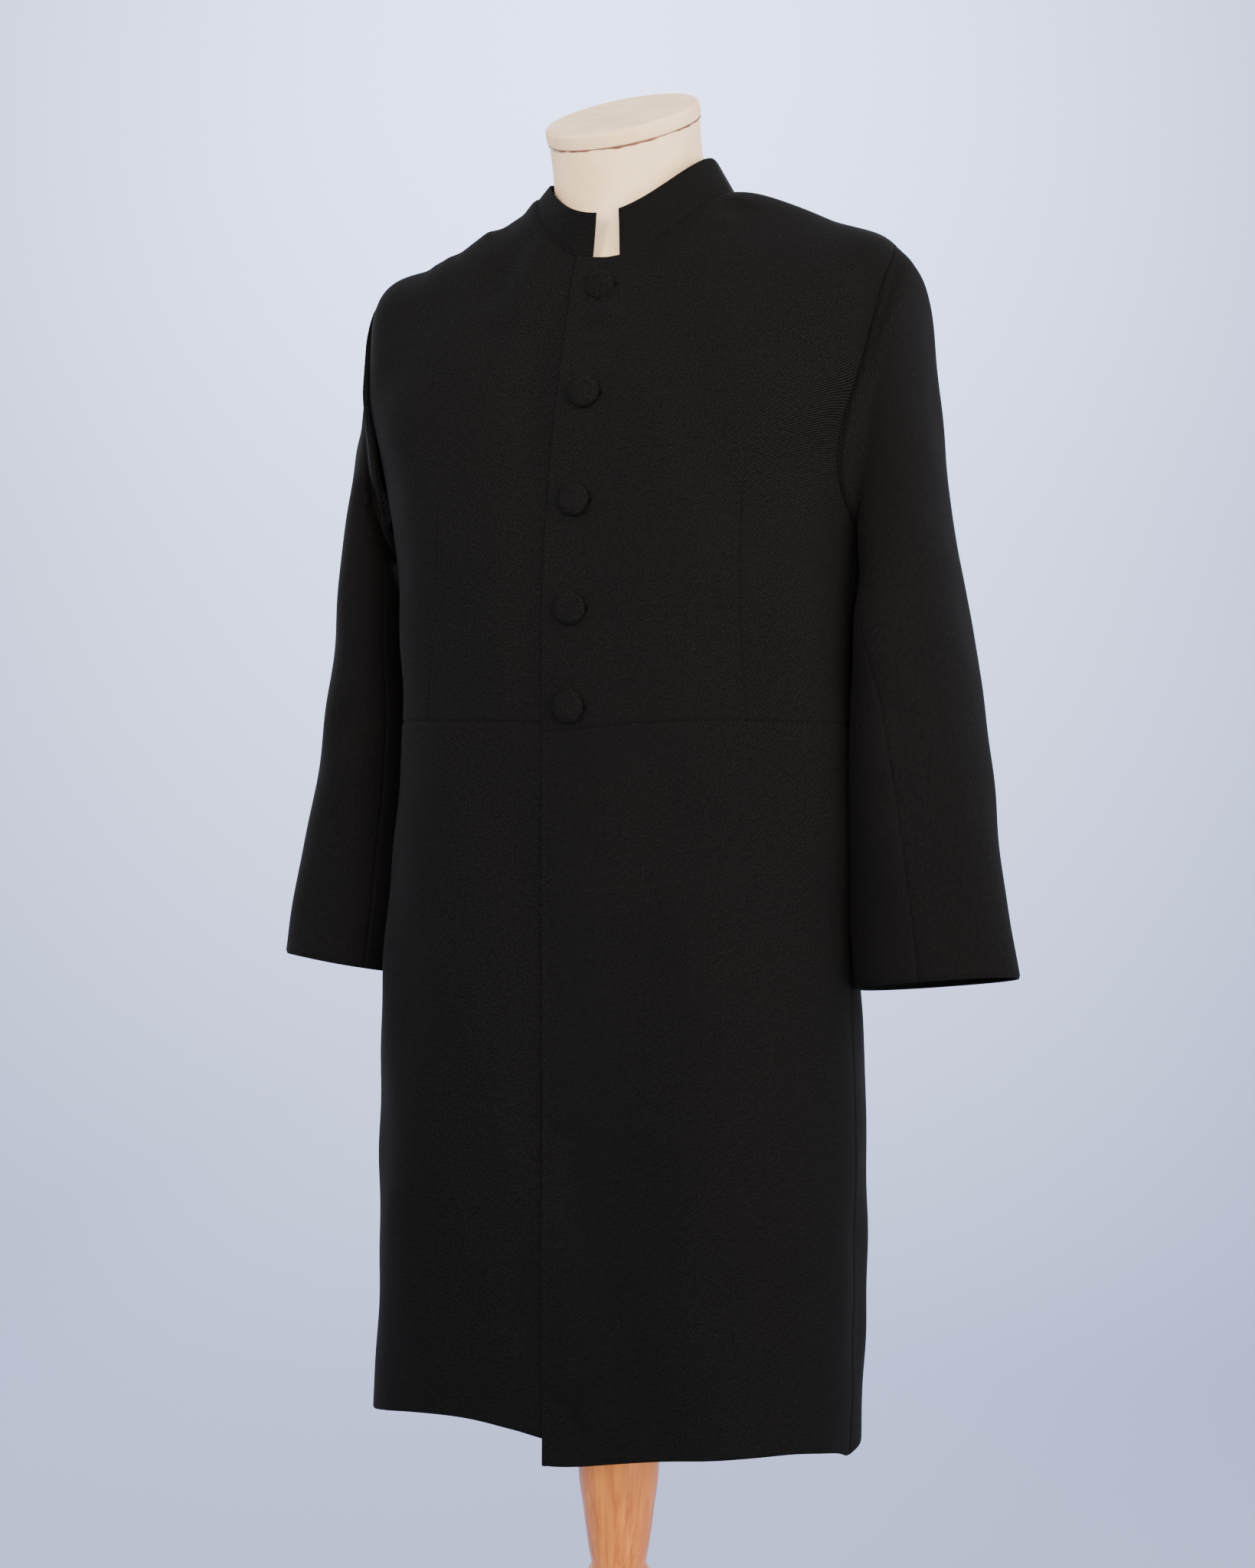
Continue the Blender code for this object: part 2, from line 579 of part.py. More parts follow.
def bust(cotton, collection):
    """The form's bust, kept inside the coat, and its neck."""
    degrees = np.linspace(0, 360, BUST_COLUMNS, endpoint=False)
    behind_lap = (CLOTH + LAP_CLEARANCE) * smooth_step((np.cos(np.radians(degrees)) - 0.75) / 0.15)
    rings = []
    for level in BUST_LEVELS:
        levels = np.full(BUST_COLUMNS, level)
        inset = smooth_through(list(BUST_INSET.values()), level) + behind_lap
        rings.append(body_point(degrees, levels) - body_normal(degrees, levels) * inset[:, None])
    rings[0][:, 2] = BUST_BOTTOM_Z
    rings += [neck_ring(ring, degrees) for ring in NECK.values()]
    closed_loft("form_bust", rings, cotton, collection)


def neck_cap(cotton, collection):
    profile = [
        (CAP_RADIUS - CAP_EDGE, CAP_THICKNESS),
        (CAP_RADIUS - 0.3 * CAP_EDGE, CAP_THICKNESS - 0.3 * CAP_EDGE),
        (CAP_RADIUS, CAP_THICKNESS - CAP_EDGE),
        (CAP_RADIUS, CAP_EDGE / 2),
        (CAP_RADIUS - CAP_EDGE / 2, 0.0),
    ]
    cap = turned("form_neck_cap", profile, TURNED_STEPS, cotton, collection)
    top = NECK["top"]
    tilt = math.radians(CAP_TILT)
    cap.rotation_euler = (tilt, 0, 0)
    cap.location = (0, top.mid_y - SEAM_GAP * math.sin(tilt), top.mid_z + SEAM_GAP * math.cos(tilt))


def main():
    clear_scene()
    coat = bpy.data.collections.new("clerical_frock_coat")
    bpy.context.scene.collection.children.link(coat)
    wool = material("black wool coating", (0.010, 0.010, 0.012), 0.9)
    cotton = material("cream cotton cover", (0.80, 0.70, 0.57), 0.85)
    beech = material("turned beech", (0.60, 0.31, 0.12), 0.45)
    armholes = bodice_and_skirt(wool, coat)
    for word, places in armholes.items():
        sleeve(word, places, wool, coat)
    collar(wool, coat)
    buttons(wool, coat)
    bust(cotton, coat)
    neck_cap(cotton, coat)
    turned("form_pole", POLE_PROFILE, TURNED_STEPS, beech, coat)
    turned("form_base", BASE_PROFILE, TURNED_STEPS, beech, coat)


main()
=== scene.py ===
import math
from collections import namedtuple

import bpy
import numpy as np
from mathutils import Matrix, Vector


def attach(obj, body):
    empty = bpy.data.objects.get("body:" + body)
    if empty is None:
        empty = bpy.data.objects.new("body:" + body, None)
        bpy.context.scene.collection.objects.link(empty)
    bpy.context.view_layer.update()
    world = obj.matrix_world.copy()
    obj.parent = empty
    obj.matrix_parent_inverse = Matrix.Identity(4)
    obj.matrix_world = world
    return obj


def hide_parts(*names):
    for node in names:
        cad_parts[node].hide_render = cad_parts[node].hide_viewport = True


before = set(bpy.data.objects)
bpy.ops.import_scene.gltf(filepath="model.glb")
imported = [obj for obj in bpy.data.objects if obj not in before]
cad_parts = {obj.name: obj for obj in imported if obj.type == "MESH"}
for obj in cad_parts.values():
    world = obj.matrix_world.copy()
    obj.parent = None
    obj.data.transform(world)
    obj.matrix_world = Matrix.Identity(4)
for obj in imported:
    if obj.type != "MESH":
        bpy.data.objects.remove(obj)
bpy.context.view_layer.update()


def linear(code):
    # sRGB hex to the linear values that the shaders work in
    out = []
    for start in (0, 2, 4):
        c = int(code[start:start + 2], 16) / 255
        out.append(c / 12.92 if c <= 0.04045 else ((c + 0.055) / 1.055) ** 2.4)
    return (*out, 1.0)


def addNode(tree, kind, values=None, output=0, **settings):
    # adds and sets a node, fills its inputs with values or with sockets, and gives one of its outputs
    node = tree.nodes.new("ShaderNode" + kind)
    node.location = (220 * len(tree.nodes), 0)
    for name, value in settings.items():
        setattr(node, name, value)
    for name, value in (values or {}).items():
        if isinstance(value, bpy.types.NodeSocket):
            tree.links.new(value, node.inputs[name])
        else:
            node.inputs[name].default_value = value
    return node.outputs[output] if node.outputs else None


def newMaterial(name):
    made = bpy.data.materials.new(name)
    made.use_nodes = True
    made.node_tree.nodes.clear()
    return made, made.node_tree


def shaded(tree, values, height=None, depth=0.0, strength=1.0):
    # the material's one shader, with a bump from the height given
    if height is not None:
        bump = {"Height": height, "Distance": depth, "Strength": strength}
        values = {**values, "Normal": addNode(tree, "Bump", bump)}
    addNode(tree, "OutputMaterial", {"Surface": addNode(tree, "BsdfPrincipled", values)})


def noise(tree, source, size, detail, roughness=0.5, distortion=0.0):
    # patches of about this size in metres
    values = {"Vector": source, "Scale": 1 / size, "Detail": detail}
    return addNode(tree, "TexNoise", {**values, "Roughness": roughness, "Distortion": distortion}, "Fac")


def bands(tree, source, width, values):
    # wavy bands of this width in metres
    return addNode(tree, "TexWave", {"Vector": source, "Scale": math.pi / 10 / width, **values}, "Fac")


def stretched(tree, value, ends, **settings):
    return addNode(tree, "MapRange", {"Value": value, "From Min": ends[0], "From Max": ends[1]}, **settings)


def twoTone(tree, factor, first, second):
    # mixes two colours, each a hex code or a socket; the Mix node's colour sockets are known by their type
    mix = addNode(tree, "Mix", {"Factor": factor}, data_type="RGBA").node
    for target, colour in zip([s for s in mix.inputs if s.type == "RGBA"], (first, second)):
        if isinstance(colour, bpy.types.NodeSocket):
            tree.links.new(colour, target)
        else:
            target.default_value = linear(colour)
    return [s for s in mix.outputs if s.type == "RGBA"][0]


# Black wool coating: a dull, close, slightly hairy twill that goes grey where it is seen along its nap
wool = {
    "deep": "020202", "light": "191715", "tones": (0.15, 0.70), "gloss": "FFFAF0",
    "mottle": 0.006,       # patches of slightly greyer cloth, metres
    "mottleShare": 0.16,
    "rib": 0.0016,         # a twill rib, real about 0.8 mm, drawn twice as coarse so that it shows
    "ribAngle": 63.0,
    "ribWander": {"Distortion": 1.6, "Detail": 2.0, "Detail Scale": 2.5},
    "fibre": 0.0021,
    "bump": 0.00022,
    "roughness": 0.88, "specular": 0.05, "sheen": 0.012, "sheenRoughness": 0.45, "sheenTint": "D4CFC2",
}


def woolMaterial(name, mapName=None):
    made, tree = newMaterial(name)
    angle = math.radians(wool["ribAngle"])
    if mapName:
        source, turn = addNode(tree, "UVMap", uv_map=mapName), (0, 0, angle)
    else:
        source, turn = addNode(tree, "TexCoord", output="Object"), (0, angle, 0)
    turned = addNode(tree, "Mapping", {"Vector": source, "Rotation": turn})
    rib = bands(tree, turned, wool["rib"], wool["ribWander"])
    fibre = noise(tree, source, wool["fibre"], 2.0, 0.6)
    mottle = noise(tree, source, wool["mottle"], 4.0, 0.65)
    weave = addNode(tree, "Math", {0: rib, 1: fibre}, operation="MULTIPLY")
    tone = addNode(tree, "Math", {0: mottle, 1: wool["mottleShare"], 2: weave}, operation="MULTIPLY_ADD")
    shaded(tree, {
        "Base Color": twoTone(tree, stretched(tree, tone, wool["tones"]), wool["deep"], wool["light"]),
        "Roughness": wool["roughness"],
        "Specular IOR Level": wool["specular"],
        "Specular Tint": linear(wool["gloss"]),
        "Sheen Weight": wool["sheen"],
        "Sheen Roughness": wool["sheenRoughness"],
        "Sheen Tint": linear(wool["sheenTint"]),
    }, weave, wool["bump"])
    return made


# Black silk buttonhole twist: smoother than the wool, so it takes a thin bright line of light
twist = {"colour": "060506", "wrap": 0.0009, "bump": 0.0002, "roughness": 0.7, "specular": 0.05}


def twistMaterial():
    made, tree = newMaterial("black silk buttonhole twist")
    wraps = bands(tree, addNode(tree, "TexCoord", output="Object"), twist["wrap"], {"Distortion": 0.6})
    values = {"Base Color": linear(twist["colour"]), "Specular IOR Level": twist["specular"]}
    shaded(tree, {**values, "Roughness": twist["roughness"]}, wraps, twist["bump"])
    return made


# Cream cotton jersey over the form: matt, with a faint even knit and slow changes of tone
cotton = {
    "light": "F0CFA2", "deep": "E3BB88", "tones": (0.35, 0.65), "knit": 0.0011, "blotch": 0.045,
    "bump": 0.0003, "bumpStrength": 0.5, "roughness": 0.9, "sheen": 0.12,
}


def cottonMaterial():
    made, tree = newMaterial("cream cotton jersey")
    source = addNode(tree, "TexCoord", output="Object")
    blotch = stretched(tree, noise(tree, source, cotton["blotch"], 5.0, 0.6), cotton["tones"])
    knit = noise(tree, source, cotton["knit"], 1.0)
    colour = twoTone(tree, blotch, cotton["deep"], cotton["light"])
    values = {"Base Color": colour, "Roughness": cotton["roughness"], "Sheen Weight": cotton["sheen"]}
    shaded(tree, values, knit, cotton["bump"], cotton["bumpStrength"])
    return made


# Brown animal glue squeezed out under the cap: a dark glossy uneven line
glue = {"light": "8A4A2C", "deep": "3E1C10", "streak": 0.00625, "roughness": 0.4}


def glueMaterial():
    made, tree = newMaterial("brown animal glue")
    streak = noise(tree, addNode(tree, "TexCoord", output="Object"), glue["streak"], 3.0)
    colour = twoTone(tree, streak, glue["deep"], glue["light"])
    shaded(tree, {"Base Color": colour, "Roughness": glue["roughness"]})
    return made


# Turned beech with a clear satin finish: straight grain, short dark flecks and slow changes of tone
beech = {
    "pale": "D07A1C", "warm": "A5520A", "dark": "6A2E08",
    "grain": 0.006,        # width of a band of grain, metres
    "grainTones": (0.35, 0.68),
    "stretch": 0.035,      # how much shorter the pattern is across the grain than along it
    "fleck": 0.0016,
    "fleckTones": (0.60, 0.75),
    "fleckShare": 0.45,
    "bump": 0.0002, "bumpStrength": 0.3, "roughness": 0.42, "coat": 0.25, "coatRoughness": 0.3,
}


def beechMaterial(name, upright):
    made, tree = newMaterial(name)
    scale = (1, 1, beech["stretch"]) if upright else (beech["stretch"], 1, 1)
    along = addNode(tree, "Mapping", {"Vector": addNode(tree, "TexCoord", output="Object"), "Scale": scale})
    grain = stretched(tree, noise(tree, along, beech["grain"], 6.0, 0.55, 0.6), beech["grainTones"])
    fleck = noise(tree, along, beech["fleck"], 2.0)
    marks = {0: stretched(tree, fleck, beech["fleckTones"]), 1: beech["fleckShare"]}
    share = addNode(tree, "Math", marks, operation="MULTIPLY")
    shaded(tree, {
        "Base Color": twoTone(tree, share, twoTone(tree, grain, beech["pale"], beech["warm"]), beech["dark"]),
        "Roughness": beech["roughness"],
        "Coat Weight": beech["coat"],
        "Coat Roughness": beech["coatRoughness"],
    }, fleck, beech["bump"], beech["bumpStrength"])
    return made


coatWool = woolMaterial("black wool coating", "cut")
buttonWool = woolMaterial("black wool over buttons")
silkTwist = twistMaterial()
cottonJersey = cottonMaterial()
animalGlue = glueMaterial()
poleBeech = beechMaterial("turned beech, upright grain", True)
baseBeech = beechMaterial("turned beech, flat grain", False)
print("materials made")


# The coat's form: the same sections, seams and sizes as its solids, drawn finer.
# A section is a flattened ring: half width, place of its widest point, reach to front and back,
# height at front, side and back, and how square it is.
Section = namedtuple("Section", "halfWidth shiftX sideY frontY backY frontZ sideZ backZ squareness")
bodySections = {
    "neck seam": Section(0.0865, 0.005, 0.024, -0.0445, 0.097, 1.399, 1.459, 1.480, 2.00),
    "collar foot": Section(0.1130, 0.005, 0.023, -0.0560, 0.113, 1.374, 1.452, 1.457, 2.05),
    "shoulder": Section(0.1680, 0.005, 0.021, -0.0720, 0.127, 1.328, 1.4235, 1.405, 2.20),
    "shoulder tip": Section(0.2220, 0.003, 0.018, -0.0890, 0.136, 1.276, 1.399, 1.353, 2.35),
    "upper arm": Section(0.2240, 0.003, 0.012, -0.1010, 0.140, 1.228, 1.320, 1.296, 2.50),
    "chest": Section(0.2090, 0.003, 0.006, -0.1100, 0.139, 1.178, 1.240, 1.232, 2.50),
    "underarm": Section(0.1980, 0.003, 0.003, -0.1150, 0.134, 1.128, 1.165, 1.165, 2.50),
    "ribs": Section(0.1930, 0.002, 0.001, -0.1165, 0.126, 1.075, 1.095, 1.097, 2.50),
    "waist seam": Section(0.1905, 0.002, 0.000, -0.1160, 0.121, 1.021, 1.025, 1.029, 2.50),
    "hip": Section(0.1950, 0.000, -0.004, -0.1160, 0.128, 0.890, 0.890, 0.890, 2.50),
    "thigh": Section(0.2010, 0.000, -0.010, -0.1165, 0.129, 0.740, 0.738, 0.736, 2.50),
    "knee": Section(0.2047, 0.000, -0.015, -0.1170, 0.125, 0.600, 0.590, 0.586, 2.50),
    "hem": Section(0.2034, 0.000, -0.021, -0.1175, 0.118, 0.474, 0.457, 0.453, 2.50),
}
levelOf = {name: number for number, name in enumerate(bodySections)}
bodyRows = np.array(list(bodySections.values()))

coat = {"cloth": 0.0020, "collarCloth": 0.0026}

# Front closure, which hangs a little to the wearer's left of the middle
closure = {
    "x": 0.0075,
    "pastButtons": 0.024,
    "underlap": 0.055,
    "clearance": -0.0008,    # pressed together, so that only about a cloth's thickness stands proud
    "ramp": 0.022,
    "lead": 0.016,
    "hemDrop": 0.018,
    "hemReach": 0.075,
    # how much higher the waist seam runs than the plain round, by x, and how far that reaches up and down
    "waist": {
        "left": (
            (-0.017, -0.0042), (0.02, -0.0020), (0.06, 0.0012), (0.10, 0.0024), (0.14, 0.0018),
            (0.17, -0.0008), (0.21, -0.0034),
        ),
        "right": ((-0.21, 0.0036), (-0.12, 0.0045), (-0.06, 0.0045), (-0.017, 0.0030), (0.04, 0.0030)),
        "leftBack": ((0.08, 0.0), (0.21, -0.0034)),
        "rightBack": ((-0.21, 0.0036), (-0.08, 0.0)),
    },
    "waistHeight": 1.022,
    "waistReach": 0.045,
    "edgeRise": 0.0005,      # the left front's edge seam stands a little proud and takes the light
    "edgeRiseWidth": 0.0032,
    # the neckline climbs higher on the wearer's right
    "neckRise": 0.008,
    "neckRiseAt": -75.0,
    "neckRiseReach": 0.117,
    "neckRiseLevels": 1.6,
    "neckIn": 0.0060,
    "neckGroove": 0.0016,
    "neckGrooveWidth": 0.0024,
}
lapEdge = closure["x"] - closure["pastButtons"]

bodice = {
    "neckColumns": 7,
    "shoulderColumns": 6,
    "sideRows": 5,
    "armholeRows": 9,
    "chestLevel": 6.4,
    "topPull": 2,
    "columns": 96,
    "lowRows": 60,
    "highRows": 110,
}
skirt = {
    "columns": 92,
    "rows": 110,
    "frontRows": 230,
    "closeRows": 0.5,
    "hangPower": 2.5,
    # how far each front's hem hangs above or below the plain round, from its front edge to the side seam
    "leftHem": (-0.0062, -0.0060, -0.0050, -0.0012, 0.0045, 0.0085, 0.0085, 0.0060, 0.0),
    "rightHem": (-0.0060, -0.0050, 0.0020, 0.0068, 0.0068, 0.0045, 0.0015, 0.0, 0.0),
}
dart = {
    "point": 4.65, "left": (36.8, 43.0), "right": (32.5, 38.2), "dip": 0.0009, "width": 0.0011,
    "lead": 1.4,           # levels above its point over which the columns lean towards it
    "fade": 0.5,
}

# Pressed seams sink a little, free edges roll in, and small hand stitches hold the front edge
seam = {
    "dip": 0.0011, "width": 0.0016, "sleeveDip": 0.0007, "sleeveFade": 0.05,
    "roll": 0.0013, "rollWidth": 0.0026, "closePoints": 0.80,
}
edgeStitch = {"inset": 0.0045, "spacing": 0.0085, "width": 0.0016, "depth": 0.00055, "upperDepth": 0.00014}
smoothAngle = {"cloth": 50, "rounded": 80, "wood": 35}    # degrees, above which an edge stays sharp
thinnestTurning = 0.0004

sleeve = {
    "headOut": {"left": 0.0065, "right": 0.0030},
    "headUp": 0.0018,
    "underarmUp": 0.0058,
    "headShares": (1.0, 0.7, 0.4, 0.15, 0.0, 0.0, 0.0),
    # from the armhole down, ring by ring: how far the front and the back of the head are filled out,
    # and how far the hidden inner back lies closer to the body
    "frontFill": (0.0, 0.0055, -0.008, -0.006, 0.0, 0.0, 0.0, 0.0, 0.0),
    "backFill": {
        "left": (0.0, 0.0100, -0.010, -0.010, -0.004, 0.0, 0.0, 0.0, 0.0),
        "right": (0.0, 0.0010, -0.006, -0.007, -0.003, 0.0, 0.0, 0.0, 0.0),
    },
    "innerFill": (0.0, 0.0, 0.0, 0.003, 0.009, 0.0145, 0.0165, 0.0150, 0.0),
    "underarmShares": (0, 0.2, 1, 0.2, 0),
    "swell": 1.5,
    "insideAt": 1.2,       # stops past the underarm at which the hidden inner back is closest
    "insideReach": 2.0,
    "softenings": 6,
    "foreSeam": 7,
    "hindSeam": 5,
    "headRows": (0, 0.2, 0.45, 0.7),
    "rows": 130,
    "topColumns": 84,
    "underColumns": 44,
}
Ring = namedtuple("Ring", "outerX outerZ innerX innerZ midY halfDepth lift foreSeam hindSeam squareness")
sleeveSections = {
    "left": {
        "head": Ring(0.2475, 1.370, 0.2050, 1.166, 0.024, 0.070, 0.000, 142, 255, 2.2),
        "upper": Ring(0.2592, 1.295, 0.2045, 1.130, 0.024, 0.068, 0.000, 138, 252, 2.2),
        "biceps": Ring(0.2707, 1.190, 0.2040, 1.075, 0.022, 0.064, 0.002, 114, 248, 2.2),
        "above elbow": Ring(0.2875, 1.100, 0.2030, 1.020, 0.019, 0.061, 0.003, 102, 246, 2.2),
        "elbow": Ring(0.3012, 1.010, 0.2025, 0.960, 0.015, 0.058, 0.004, 97, 246, 2.2),
        "forearm": Ring(0.3152, 0.915, 0.2040, 0.885, 0.010, 0.054, 0.005, 95, 248, 2.2),
        "cuff": Ring(0.3305, 0.829, 0.2030, 0.815, 0.006, 0.051, 0.006, 94, 250, 2.2),
    },
    "right": {
        "head": Ring(0.2185, 1.366, 0.2080, 1.166, 0.024, 0.070, 0.000, 142, 255, 2.2),
        "upper": Ring(0.2335, 1.295, 0.1995, 1.130, 0.024, 0.068, 0.000, 140, 252, 2.2),
        "biceps": Ring(0.2510, 1.190, 0.1985, 1.075, 0.022, 0.064, 0.002, 139, 248, 2.2),
        "above elbow": Ring(0.2625, 1.100, 0.1965, 1.020, 0.019, 0.061, 0.003, 139, 246, 2.2),
        "elbow": Ring(0.2755, 1.010, 0.1990, 0.960, 0.015, 0.058, 0.004, 139, 246, 2.2),
        "forearm": Ring(0.2915, 0.915, 0.2025, 0.885, 0.010, 0.054, 0.005, 137, 248, 2.2),
        "cuff": Ring(0.3080, 0.829, 0.2050, 0.815, 0.006, 0.051, 0.006, 134, 250, 2.2),
    },
}

collar = {
    "gap": 0.022, "tuck": 0.005, "lean": 0.0048, "leanMiddle": 0.15,
    "flare": 0.006, "flareRise": 0.003, "flareAt": 112, "flareReach": 0.12,
    "rows": 26, "columns": 220, "closeRows": 0.8, "closeColumns": 0.85,
    "stitchInset": 0.0040, "stitchDepth": 0.00030, "stitchWidth": 0.0012, "stitchSpacing": 0.0075,
}
collarTop = Section(0.0716, 0.0080, 0.025, -0.0485, 0.1015, 1.434, 1.483, 1.514, 2.00)

# Buttons: 40 ligne, a domed shell covered in the coat's cloth; tilts are how each sits askew
button = {
    "heights": (1.373, 1.282, 1.196, 1.112, 1.036),
    "tilts": (-1, 2, -2, 3, -1),
    "nods": (11, 1, -1, 1.5, -0.5),
    "seat": 0.0002,
    "profile": (
        (0.0004, 0.0071), (0.0040, 0.0070), (0.0078, 0.0067), (0.0104, 0.0060), (0.0119, 0.0049),
        (0.0127, 0.0036), (0.01255, 0.0026), (0.0117, 0.0019), (0.0095, 0.0015), (0.0036, 0.0014),
        (0.0034, 0.0001),
    ),
}
hole = {
    "length": 0.0255, "width": 0.0024, "cord": 0.0008, "start": -0.0110, "drop": 0.03,
    "ringCord": 0.3,       # the cord's radius in the ring that the slot is drawn out of
    "straightness": 4,
    "flatness": 0.8,
}

# Dress form
bustInset = {
    "neck seam": 0.0085,
    "collar foot": 0.0060,
    "shoulder": 0.0048,
    "shoulder tip": 0.0095,
    "upper arm": 0.0120,
    "chest": 0.0110,
    "underarm": 0.0080,
    "ribs": 0.0110,
    "waist seam": 0.0170,
    "hip": 0.0150,
}
bustLevels = (9.2, 8.6, 8.0, 7.4, 6.8, 6.2, 5.6, 5.0, 4.4, 3.9, 3.4, 3.0, 2.6, 2.2, 1.8, 1.4, 1.05, 0.7, 0.4)
neckRings = {
    "root": (0.0675, 0.0680, 0.0270, 1.450, 29),
    "mid": (0.0625, 0.0645, 0.0215, 1.482, 29),
    "top": (0.0630, 0.0630, 0.0120, 1.5165, 30),
}
form = {
    "columns": 144,
    "bottomZ": 0.860,
    "capTilt": 30,
    "capClear": 0.0003,
    "lapFrom": 0.75,
    "lapFade": 0.15,
    "capProfile": (
        (0.0020, 0.0127), (0.0300, 0.0127), (0.0560, 0.0126), (0.0615, 0.0124), (0.0640, 0.0108),
        (0.0645, 0.0080), (0.0645, 0.0035), (0.0641, 0.0008), (0.0630, 0.0001),
    ),
    "poleProfile": (
        (0.0335, 0.8597), (0.0345, 0.640), (0.0345, 0.520), (0.0334, 0.425), (0.0290, 0.385),
        (0.0250, 0.355), (0.0224, 0.340), (0.0248, 0.3355), (0.0262, 0.329), (0.0248, 0.3225),
        (0.0215, 0.317), (0.0200, 0.290), (0.0215, 0.200), (0.0260, 0.110), (0.0310, 0.075),
        (0.0350, 0.062), (0.0350, 0.050), (0.0300, 0.0343),
    ),
    "baseProfile": (
        (0.0020, 0.034), (0.0420, 0.034), (0.1000, 0.0310), (0.1600, 0.0255), (0.1720, 0.0225),
        (0.1760, 0.0185), (0.1840, 0.0180), (0.1890, 0.0140), (0.1900, 0.0080), (0.1880, 0.0000),
    ),
}

# The armhole, as degrees round from the middle front and levels down, from shoulder to underarm
armholeFront = ((90, 3.0), (78, 3.25), (68, 3.85), (64, 4.7), (71, 5.5), (90, 6.0))
armholeBack = ((90, 3.0), (101, 3.25), (110, 3.85), (115, 4.7), (110, 5.5), (90, 6.0))


sideWord = {1: "left", -1: "right"}
fineSteps = 400


def smoothThrough(rows, place):
    # values on a smooth curve through evenly numbered rows
    rows = np.asarray(rows, float)
    last = len(rows) - 1
    place = np.clip(np.asarray(place, float), 0, last)
    low = np.minimum(place.astype(int), last - 1)
    part = (place - low).reshape(place.shape + (1,) * (rows.ndim - 1))
    before, here = rows[np.maximum(low - 1, 0)], rows[low]
    there, after = rows[low + 1], rows[np.minimum(low + 2, last)]
    leave, arrive = (there - before) / 2, (after - here) / 2
    return (
        here * (2 * part**3 - 3 * part**2 + 1)
        + leave * (part**3 - 2 * part**2 + part)
        + there * (3 * part**2 - 2 * part**3)
        + arrive * (part**3 - part**2)
    )


def smoothStep(value):
    value = np.clip(value, 0, 1)
    return value * value * (3 - 2 * value)


def stacked(*columns):
    return np.stack(columns, axis=-1)


def bell(distance, width):
    return np.exp(-((distance / width) ** 2))


def unit(vectors):
    return vectors / np.maximum(np.linalg.norm(vectors, axis=-1, keepdims=True), 1e-12)


def onSection(values, degrees):
    half, shift, sideY, frontY, backY, frontZ, sideZ, backZ, square = np.moveaxis(values, -1, 0)
    turn = np.radians(degrees)
    across, along = np.sin(turn), np.cos(turn)
    reach = (np.abs(across) ** square + np.abs(along) ** square) ** (-1 / square)
    atFront = along >= 0
    depth = np.where(atFront, sideY - frontY, backY - sideY)
    endZ = np.where(atFront, frontZ, backZ)
    return np.stack(
        [shift + half * across * reach, sideY - depth * along * reach, sideZ + (endZ - sideZ) * along**2],
        axis=-1,
    )


def bodyPoint(places):
    return onSection(smoothThrough(bodyRows, places[..., 1]), places[..., 0])


def bodyNormal(places):
    turn, step = 0.5, 0.02
    level = np.clip(places[..., 1], step, levelOf["hem"] - step)
    degrees = places[..., 0]
    side = [bodyPoint(stacked(degrees + d, level)) for d in (turn, -turn)]
    down = [bodyPoint(stacked(degrees, level + d)) for d in (step, -step)]
    return unit(np.cross(down[0] - down[1], side[0] - side[1]))


def edgeDegrees(x, level):
    values = smoothThrough(bodyRows, level)
    return np.degrees(np.arcsin((x - values[:, 1]) / values[:, 0]))


def closer(count, squeeze=None):
    # numbers from 0 to 1 that lie closer together at both ends, where the seams are
    squeeze = seam["closePoints"] if squeeze is None else squeeze
    t = np.linspace(0, 1, count + 1)
    return t - squeeze * np.sin(2 * math.pi * t) / (2 * math.pi)


def joined(*lines):
    return np.concatenate([lines[0]] + [line[1:] for line in lines[1:]])


def alongNotches(notches, share):
    # places on the smooth line through the notches, at these shares of its length
    places = smoothThrough(notches, np.linspace(0, len(notches) - 1, fineSteps))
    walked = np.concatenate([[0], np.cumsum(np.linalg.norm(np.diff(bodyPoint(places), axis=0), axis=1))])
    wanted = np.asarray(share) * walked[-1]
    return np.stack([np.interp(wanted, walked, places[:, axis]) for axis in (0, 1)], axis=-1)


